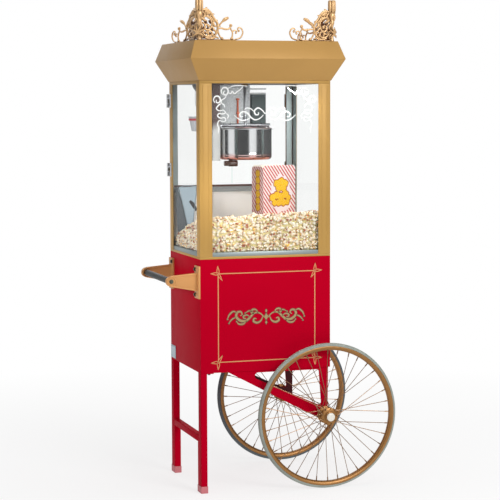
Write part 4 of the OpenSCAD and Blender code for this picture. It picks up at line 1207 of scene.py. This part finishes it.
# Strokes from the window's middle line, mirrored across it
CENTRE_SCROLLS = (
    (((0, 1298), (12, 1312), (26, 1318), (38, 1308), (34, 1296), (24, 1296), (24, 1304)), 5.4),
    (((6, 1294), (20, 1282), (36, 1278), (50, 1286), (62, 1300), (78, 1306), (90, 1298), (86, 1288),
      (78, 1290)), 5.4),
    (((40, 1306), (52, 1316), (66, 1318), (74, 1312)), 4.4),
    (((52, 1286), (66, 1278), (82, 1276), (96, 1282), (110, 1294)), 4.4),
)


def scrollwork():
    """White scrolls printed on the inside of the front glass, the same on both sides."""
    bm = bmesh.new()
    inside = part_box("glass_front")[1].y + 0.00004
    film = 0.00018

    def place(u, v, w):
        return Vector((at(u, 0, 0).x, inside + w, v / 1000))

    for mirror in (False, True):
        for pts, width in CORNER_SCROLLS:
            stroke(bm, [(W - x if mirror else x, z) for x, z in pts], width, place, film, taper=0.55)
    for s in (-1, 1):
        for pts, width in CENTRE_SCROLLS:
            stroke(bm, [(W / 2 + s * x, z) for x, z in pts], width, place, film, taper=0.45)
    finish_mesh("glass_scrollwork", bm, WHITE_PRINT, "machine", "glass")


scrollwork()


# ---------------------------------------------------------------- contents
def heap_top(x, y):
    """Height of the popcorn in mm: piled up at the front and to the right."""
    flow = 944 + 15 * x / 470 - 0.05 * y - 0.00053 * y * y
    lift = 46 * max(x - 120, 0) / 350 * (y / 380) ** 2
    rough = 8 * noise.noise(Vector((x / 46, y / 46, 3.1))) + 4 * noise.noise(Vector((x / 17, y / 17, 7.7)))
    return flow + lift + rough


def kernel_shape(rng, subdivisions):
    """One popped kernel of unit size: rounded lobes round a small brown hull."""
    bm = bmesh.new()
    bmesh.ops.create_icosphere(bm, subdivisions=subdivisions, radius=1)
    lobes = []
    for _ in range(rng.choice((4, 5, 5, 6))):
        d = Vector((rng.uniform(-1, 1), rng.uniform(-1, 1), rng.uniform(-0.8, 1))).normalized()
        lobes.append((d, rng.uniform(0.38, 0.56), rng.uniform(3.5, 6.5)))
    hull = Vector((rng.uniform(-1, 1), rng.uniform(-1, 1), rng.uniform(-1, 1))).normalized()
    points, brown = [], []
    for v in bm.verts:
        d = v.co.normalized()
        r = 0.5
        for lobe, grow, sharp in lobes:
            r = max(r, 0.46 + grow * math.exp(-sharp * (1 - d.dot(lobe))))
        r += 0.05 * noise.noise(d * 3.2 + hull * 5)
        near = max(0.0, (d.dot(hull) - 0.52) / 0.48)
        points.append(d * (r - 0.12 * near))
        brown.append(min(1.0, near * 2.2 + max(0.0, (0.66 - r) * 2.4)))
    faces = [[v.index for v in f.verts] for f in bm.faces]
    bm.free()
    return points, faces, brown


# A kernel's lobes reach this many times the radius that it is spaced for
KERNEL_SWELL = 1.3


def heap(name, seeds, shapes, rng):
    """Joins kernels at the given (x, y, z, radius) places in mm into one piece."""
    verts, faces, tones = [], [], []
    for x, y, z, r in seeds:
        points, polys, brown = shapes[rng.randrange(len(shapes))]
        turn = Matrix.Rotation(rng.uniform(0, 6.28), 3, "Z") @ Matrix.Rotation(rng.uniform(0, 6.28), 3, "X")
        squash = Vector((rng.uniform(0.85, 1.15), rng.uniform(0.85, 1.1), rng.uniform(0.8, 1.05)))
        butter = rng.random() ** 1.8 * (1.7 if rng.random() < 0.2 else 0.8)
        dark = 1.0 if rng.random() < 0.62 else 0.2
        first = len(verts)
        middle = at(x, y, z)
        grow = r * KERNEL_SWELL / 1000
        for p, b in zip(points, brown):
            q = turn @ Vector((p.x * squash.x, p.y * squash.y, p.z * squash.z))
            verts.append(middle + q * grow)
            tones.append((butter, b * dark, 0.0, 1.0))
        faces.extend([[i + first for i in f] for f in polys])
    mesh = bpy.data.meshes.new(name)
    mesh.from_pydata(verts, [], faces)
    tone = mesh.color_attributes.new("tone", "FLOAT_COLOR", "POINT")
    tone.data.foreach_set("color", [c for t in tones for c in t])
    mesh.polygons.foreach_set("use_smooth", [True] * len(mesh.polygons))
    add_piece(name, mesh, [POPCORN], "machine", "lamp_cover")


def clamp(v, lo, hi):
    return min(max(v, lo), hi)


def popcorn():
    """A heap of kernels against the glass and over the top, round a plain core."""
    rng = random.Random(41)
    fine_shapes = [kernel_shape(rng, 2) for _ in range(7)]
    plain_shapes = [kernel_shape(rng, 1) for _ in range(7)]
    floor_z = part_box("deck")[1].z * 1000 + 1
    left, right, front, back = 9, W - 9, 9, D - 6
    step, crest_depth = 12.2, 110

    def jitter(v):
        return v + rng.uniform(-0.32, 0.32) * step

    def spots(lo, hi):
        count = round((hi - lo) / step)
        return [lo + (hi - lo) * (k + 0.5) / count for k in range(count)]

    def size():
        return rng.uniform(6.2, 9.0)

    facing, flanks, surface = [], [], []
    for x in spots(left + 3, right - 3):
        for z in spots(floor_z, heap_top(x, front) - 4):
            r = size()
            px, py, pz = jitter(x), front + r * 0.95 + rng.uniform(0, 3), jitter(z)
            facing.append((clamp(px, left + r, right - r), py, max(pz, floor_z + r * 0.9), r))
    for y in spots(front + 14, back - 10):
        for edge, inwards in ((left, 1), (right, -1)):
            for z in spots(floor_z, heap_top(edge, y) - 4):
                r = size()
                px, py, pz = edge + inwards * (r * 0.95 + rng.uniform(0, 3)), jitter(y), jitter(z)
                flanks.append((px, clamp(py, front + r, back - r), max(pz, floor_z + r * 0.9), r))
    for x in spots(left + 8, right - 8):
        for y in spots(front + 8, back - 8):
            r = size()
            px = clamp(jitter(x), left + r, right - r)
            py = clamp(jitter(y), front + r, back - r)
            surface.append((px, py, heap_top(px, py) - r * 0.4 + rng.uniform(-2, 3), r))
    heap("popcorn_front", facing, fine_shapes, rng)
    heap("popcorn_flanks", flanks, fine_shapes, rng)
    heap("popcorn_crest", [s for s in surface if s[1] < crest_depth], fine_shapes, rng)
    heap("popcorn_top", [s for s in surface if s[1] >= crest_depth], plain_shapes, rng)
    inset = 13
    popcorn_core(left + inset, right - inset, front + inset, back - inset, floor_z / 1000 + 0.001)


def popcorn_core(left, right, front, back, foot):
    """A closed lump under the kernels, 10 mm below the heap's top, that hides the gaps."""
    bm = bmesh.new()
    cols, rows = 46, 36
    grid = []
    for i in range(cols + 1):
        x = left + (right - left) * i / cols
        ys = [front + (back - front) * j / rows for j in range(rows + 1)]
        grid.append([bm.verts.new(at(x, y, heap_top(x, y) - 10)) for y in ys])
    for a, b in zip(grid, grid[1:]):
        for j in range(rows):
            bm.faces.new((a[j], b[j], b[j + 1], a[j + 1]))
    skirt = bmesh.ops.extrude_edge_only(bm, edges=[e for e in bm.edges if e.is_boundary])
    for v in skirt["geom"]:
        if isinstance(v, bmesh.types.BMVert):
            v.co.z = foot
    bmesh.ops.edgeloop_fill(bm, edges=[e for e in bm.edges if e.is_boundary])
    finish_mesh("popcorn_core", bm, POPCORN_CORE, "machine", "lamp_cover")


# The carton's print: puffs as (along, height, radius) in metres, and its cloud's middle and half sizes
UPPER_PUFFS = ((0.060, 1.056, 0.013), (0.080, 1.062, 0.014), (0.097, 1.056, 0.012), (0.068, 1.040, 0.012),
               (0.088, 1.041, 0.013))
LOWER_PUFFS = ((0.042, 1.008, 0.013), (0.060, 1.016, 0.013), (0.078, 1.010, 0.014), (0.097, 1.018, 0.014),
               (0.110, 1.006, 0.010), (0.050, 0.990, 0.011), (0.068, 0.990, 0.012), (0.088, 0.990, 0.012),
               (0.104, 0.991, 0.010))
CLOUD = (0.078, 1.022, 0.046, 0.066)


def carton():
    """A folded popcorn carton with rounded panels, standing in the heap, and its printed puffs."""
    a = math.radians(18.7)
    ex, ey = Vector((math.cos(a), math.sin(a), 0)), Vector((-math.sin(a), math.cos(a), 0))
    corner = at(243, 55, 0)
    wide, deep, low, high = 0.142, 0.064, 0.932, 1.120
    tab, sheet = 0.013, 0.0007

    def wall(bm, origin, run, out, width, top, slot):
        rounded = [(0, low), (width, low)]
        rounded += [(width - tab + tab * math.cos(t), top - tab + tab * math.sin(t)) for t in quarter(6)]
        rounded += [(tab - tab * math.sin(t), top - tab + tab * math.cos(t)) for t in quarter(6)]
        before = len(bm.faces)
        plate(bm, rounded, lambda u, v, w: origin + run * u + out * w + rise(v), sheet, slot)
        bm.faces.ensure_lookup_table()
        bm.faces[before + 1].material_index = 2

    bm = bmesh.new()
    wall(bm, corner + ey * sheet, ex, -ey, wide, high, 0)
    wall(bm, corner + ex * sheet, ey, -ex, deep, high - 0.004, 1)
    wall(bm, corner + ex * (wide - sheet), ey, ex, deep, high - 0.004, 1)
    wall(bm, corner + ey * (deep - sheet), ex, ey, wide, high, 0)
    cards = [card("carton_front", ex), card("carton_side", -ey), CARD_INSIDE]
    finish_mesh("carton", bm, cards, "machine", "lamp_cover", smooth=False)

    def on_front(u, v, w):
        return corner + ex * u - ey * (0.00005 + w) + rise(v)

    def on_side(u, v, w):
        return corner + ey * u - ex * (0.00005 + w) + rise(v)

    def puff(place, cx, cz, r, depth, lobes, slot):
        pts = []
        for t in turns(40):
            swell = r * (0.86 + 0.14 * abs(math.cos(t * lobes / 2 + cx * 900)))
            pts.append((cx + swell * math.cos(t), cz + swell * math.sin(t)))
        plate(bm, pts, place, depth, slot)

    bm = bmesh.new()
    yellow, brown, pale = range(3)
    cx, cz, half_wide, half_high = CLOUD
    cloud = []
    for t in turns(72):
        r = 1 + 0.05 * math.cos(7 * t) + 0.03 * math.cos(11 * t + 1)
        egg = half_wide - 0.009 * math.sin(t)
        cloud.append((cx + egg * r * math.cos(t), cz + half_high * r * math.sin(t)))
    plate(bm, cloud, on_front, 0.00012, pale)
    puffs = UPPER_PUFFS + LOWER_PUFFS
    for k, (u, v, r) in enumerate(puffs):
        puff(on_front, u, v, r + 0.0034, 0.0002 + 0.00003 * k, 5, brown)
    for k, (u, v, r) in enumerate(puffs):
        puff(on_front, u, v, r, 0.0006 + 0.00004 * k, 5, yellow)
    for k in range(6):
        z = 1.092 - 0.0235 * k
        puff(on_side, 0.030, z, 0.0152, 0.0002, 4, brown)
        puff(on_side, 0.030, z, 0.0122, 0.0004, 4, yellow)
    prints = [PUFF_YELLOW, PUFF_BROWN, PUFF_CLOUD]
    finish_mesh("carton_print", bm, prints, "machine", "lamp_cover", smooth=False)


def scoop():
    """A folded sheet-metal scoop that leans in the back left corner of the heap."""
    back = [(19, 1036), (83, 1039), (80, 1004), (74, 960), (65, 905), (44, 905), (28, 990)]
    hem = [(44, 906), (28, 990), (19, 1036), (83, 1039), (80, 1004), (74, 960), (65, 906)]
    # The outline named shade is a dark sheet behind the scoop's left edge, as painted shadow
    shade = [(8, 1034), (19, 1036), (28, 990), (46, 902), (30, 872), (8, 872)]
    slot = [(57, 988), (64, 980), (73, 966), (80, 953)]
    top_y, lean, sheet = 334, 0.12, 1.2

    def place(u, v, w):
        return at(u, top_y - (1036 - v) * lean - w, v)

    bm = bmesh.new()
    plate(bm, back, place, sheet)
    tube(bm, catmull([place(u, v, sheet) for u, v in hem], 3), 0.0016, 8)
    # The dark sheet is painted shadow, set 4 mm behind the scoop
    plate(bm, shade, lambda u, v, w: place(u, v, w) + Vector((0, 0.004, 0)), sheet, 1)
    finish_mesh("scoop", bm, [GALVANISED, SHADOW_SHEET], "machine", "plate", smooth=False)
    bm = bmesh.new()
    # The slot is a dark stroke, painted shadow where the hole would be
    stroke(bm, slot, 13, lambda u, v, w: place(u, v, sheet + 0.1 + w), 0.4, taper=0.6)
    finish_mesh("scoop_slot", bm, SLOT_DARK, "machine", "dark_plastic")


def measuring_cup():
    """A ribbed cup with a red band that hangs on a wire in front of the left glass."""
    c = at(58, 250, 1237)
    foot, flare, inside = 0.0138, 0.0092, 0.0222
    prof = [(0.0, 0), (0.0125, 0), (foot, 0.001)]
    prof += [(foot + flare * k / 12, 0.001 + 0.047 * k / 12) for k in range(1, 13)]
    prof += [(0.0246, 0.0485), (0.0252, 0.0505), (0.0246, 0.052), (0.0234, 0.052), (inside, 0.0485)]
    prof += [(inside - flare * k / 6, 0.0485 - 0.046 * k / 6) for k in range(1, 7)] + [(0.0, 0.0025)]
    bm = bmesh.new()
    lathe(bm, prof, c, (0, 0, 1), 72)
    for v in bm.verts:
        d = v.co - c
        if 0.003 < d.z < 0.036 and math.hypot(d.x, d.y) > 0.012:
            k = 1 + 0.035 * math.cos(math.atan2(d.y, d.x) * 12)
            v.co = c + Vector((d.x * k, d.y * k, d.z))
    finish_mesh("measuring_cup", bm, CUP, "machine", "glass", angle=60)
    bm = bmesh.new()
    band = [(0.0222, 0.0375), (0.0236, 0.0375), (0.0246, 0.0445), (0.0232, 0.0445)]
    lathe(bm, band, c, (0, 0, 1), 72, closed=True)
    finish_mesh("cup_band", bm, CUP_RED, "machine", "red_switch", angle=60)
    bm = bmesh.new()
    hook = ((0.0235, 0.051), (0.021, 0.066), (0.006, 0.082), (0, 0.1), (0, 0.15), (0, 0.1612))
    tube(bm, catmull([c + Vector((x, 0, z)) for x, z in hook], 6), 0.0007, 6)
    finish_mesh("cup_wire", bm, STEEL, "machine", "steel")


popcorn()
carton()
scoop()
measuring_cup()

# ---------------------------------------------------------------- floor and light
FLOOR_RADIUS = 3.4
SOFT_LIGHT = 0.36
KEY_LIGHT = 120
TOP_LIGHT = 52
BACK_LIGHT = 22
CABINET_LIGHT = 1.8
LEFT_FILL = 175
PANEL_FILL = 1000
# Strips of the room that polished metal mirrors: azimuth in degrees, then brightness
ROOM = ((-180, 1.25), (-146, 1.2), (-140, 0.10), (-92, 0.08), (-86, 1.3), (-60, 1.1), (-54, 0.10),
        (-10, 0.16), (60, 0.10), (72, 0.4), (96, 0.85), (120, 0.85), (136, 0.3), (142, 0.08),
        (172, 0.08), (180, 1.2))


def stage():
    """A pale round floor that fades into the white room, so that no horizon shows."""
    bm = bmesh.new()
    bmesh.ops.create_circle(bm, cap_ends=True, cap_tris=True, segments=96, radius=FLOOR_RADIUS)
    mesh = bpy.data.meshes.new("floor")
    bm.to_mesh(mesh)
    bm.free()
    n = Nodes("floor")
    n.set(Base_Color=n.mix(n.noise(0.8, 2), (0.93, 0.93, 0.93, 1), (0.95, 0.95, 0.95, 1)), Roughness=0.9)
    distance = n.new("VectorMath")
    distance.operation = "LENGTH"
    n.link(n.coord, distance.inputs[0])
    glow = n.new("Emission", Color=(1, 1, 1, 1))
    n.blend(n.spread(distance.outputs["Value"], 0.74, 1, 0.5, 2.6), n.bsdf.outputs[0], glow.outputs[0])
    mesh.materials.append(n.m)
    o = bpy.data.objects.new("floor", mesh)
    o.location.z = -0.0005
    scene.collection.objects.link(o)


def room():
    """A white room seen directly, soft grey light for surfaces, and dark flags in its mirror image."""
    world = bpy.data.worlds.new("studio")
    scene.world = world
    world.use_nodes = True
    t = world.node_tree
    t.nodes.clear()

    def node(kind, *inputs):
        """A node whose first inputs get links or values."""
        n = t.nodes.new("ShaderNode" + kind)
        for socket, source in zip(n.inputs, inputs):
            if isinstance(source, bpy.types.NodeSocket):
                t.links.new(source, socket)
            else:
                socket.default_value = source
        return n

    xyz = node("SeparateXYZ", node("TexCoord").outputs["Generated"]).outputs
    azimuth = node("Math", xyz["Y"], xyz["X"])
    azimuth.operation = "ARCTAN2"
    turn = node("MapRange", azimuth.outputs[0], -math.pi, math.pi, 0, 1)
    strips = node("ValToRGB", turn.outputs[0])
    stops = strips.color_ramp.elements
    while len(stops) < len(ROOM):
        stops.new(0.5)
    for stop, (deg, value) in zip(stops, ROOM):
        stop.position = (deg + 180) / 360
        stop.color = (value, value, value, 1)

    height = node("MapRange", xyz["Z"], -0.35, 0.95, 0.72, 1.0)
    soft = node("Background", height.outputs[0], SOFT_LIGHT)
    mirror = node("Background", strips.outputs[0], 1.0)
    plain = node("Background", (1, 1, 1, 1), 1.0)
    path = node("LightPath").outputs
    indirect = node("MixShader", path["Is Glossy Ray"], soft.outputs[0], mirror.outputs[0])
    both = node("MixShader", path["Is Camera Ray"], indirect.outputs[0], plain.outputs[0])
    node("OutputWorld", both.outputs[0])


def lamp(name, kind, loc, target, power, mirrored_too, **settings):
    """A light that looks from loc at target; mirrored_too says if polished metal shows it."""
    data = bpy.data.lights.new(name, kind)
    data.energy = power
    for key, value in settings.items():
        setattr(data, key, value)
    o = bpy.data.objects.new(name, data)
    o.location = loc
    o.rotation_euler = (Vector(target) - Vector(loc)).to_track_quat("-Z", "Y").to_euler()
    o.visible_glossy = mirrored_too
    scene.collection.objects.link(o)


def spot(name, loc, target, power, degrees, softness):
    lamp(name, "SPOT", loc, target, power, False,
         spot_size=math.radians(degrees), spot_blend=0.7, shadow_soft_size=softness)


stage()
room()
lamp("key", "AREA", (1.3, -4.2, 2.6), (0, 0, 1.0), KEY_LIGHT, True, size=1.8)
lamp("top", "AREA", (0.2, -0.4, 4.6), (0, 0, 0), TOP_LIGHT, True, size=3.0)
spot("left fill", (-2.4, -0.9, 1.75), at(0, 130, 930), LEFT_FILL, 15, 0.3)
spot("panel fill", (-1.75, -5.2, 1.5), at(222, 381, 990), PANEL_FILL, 2.5, 0.1)
lamp("cabinet", "AREA", at(345, 45, 1390), at(250, 170, 900), CABINET_LIGHT, False, size=0.14)
lamp("back", "AREA", (0.8, 4.2, 2.6), (0, 0, 1.2), BACK_LIGHT, True, size=2.5)
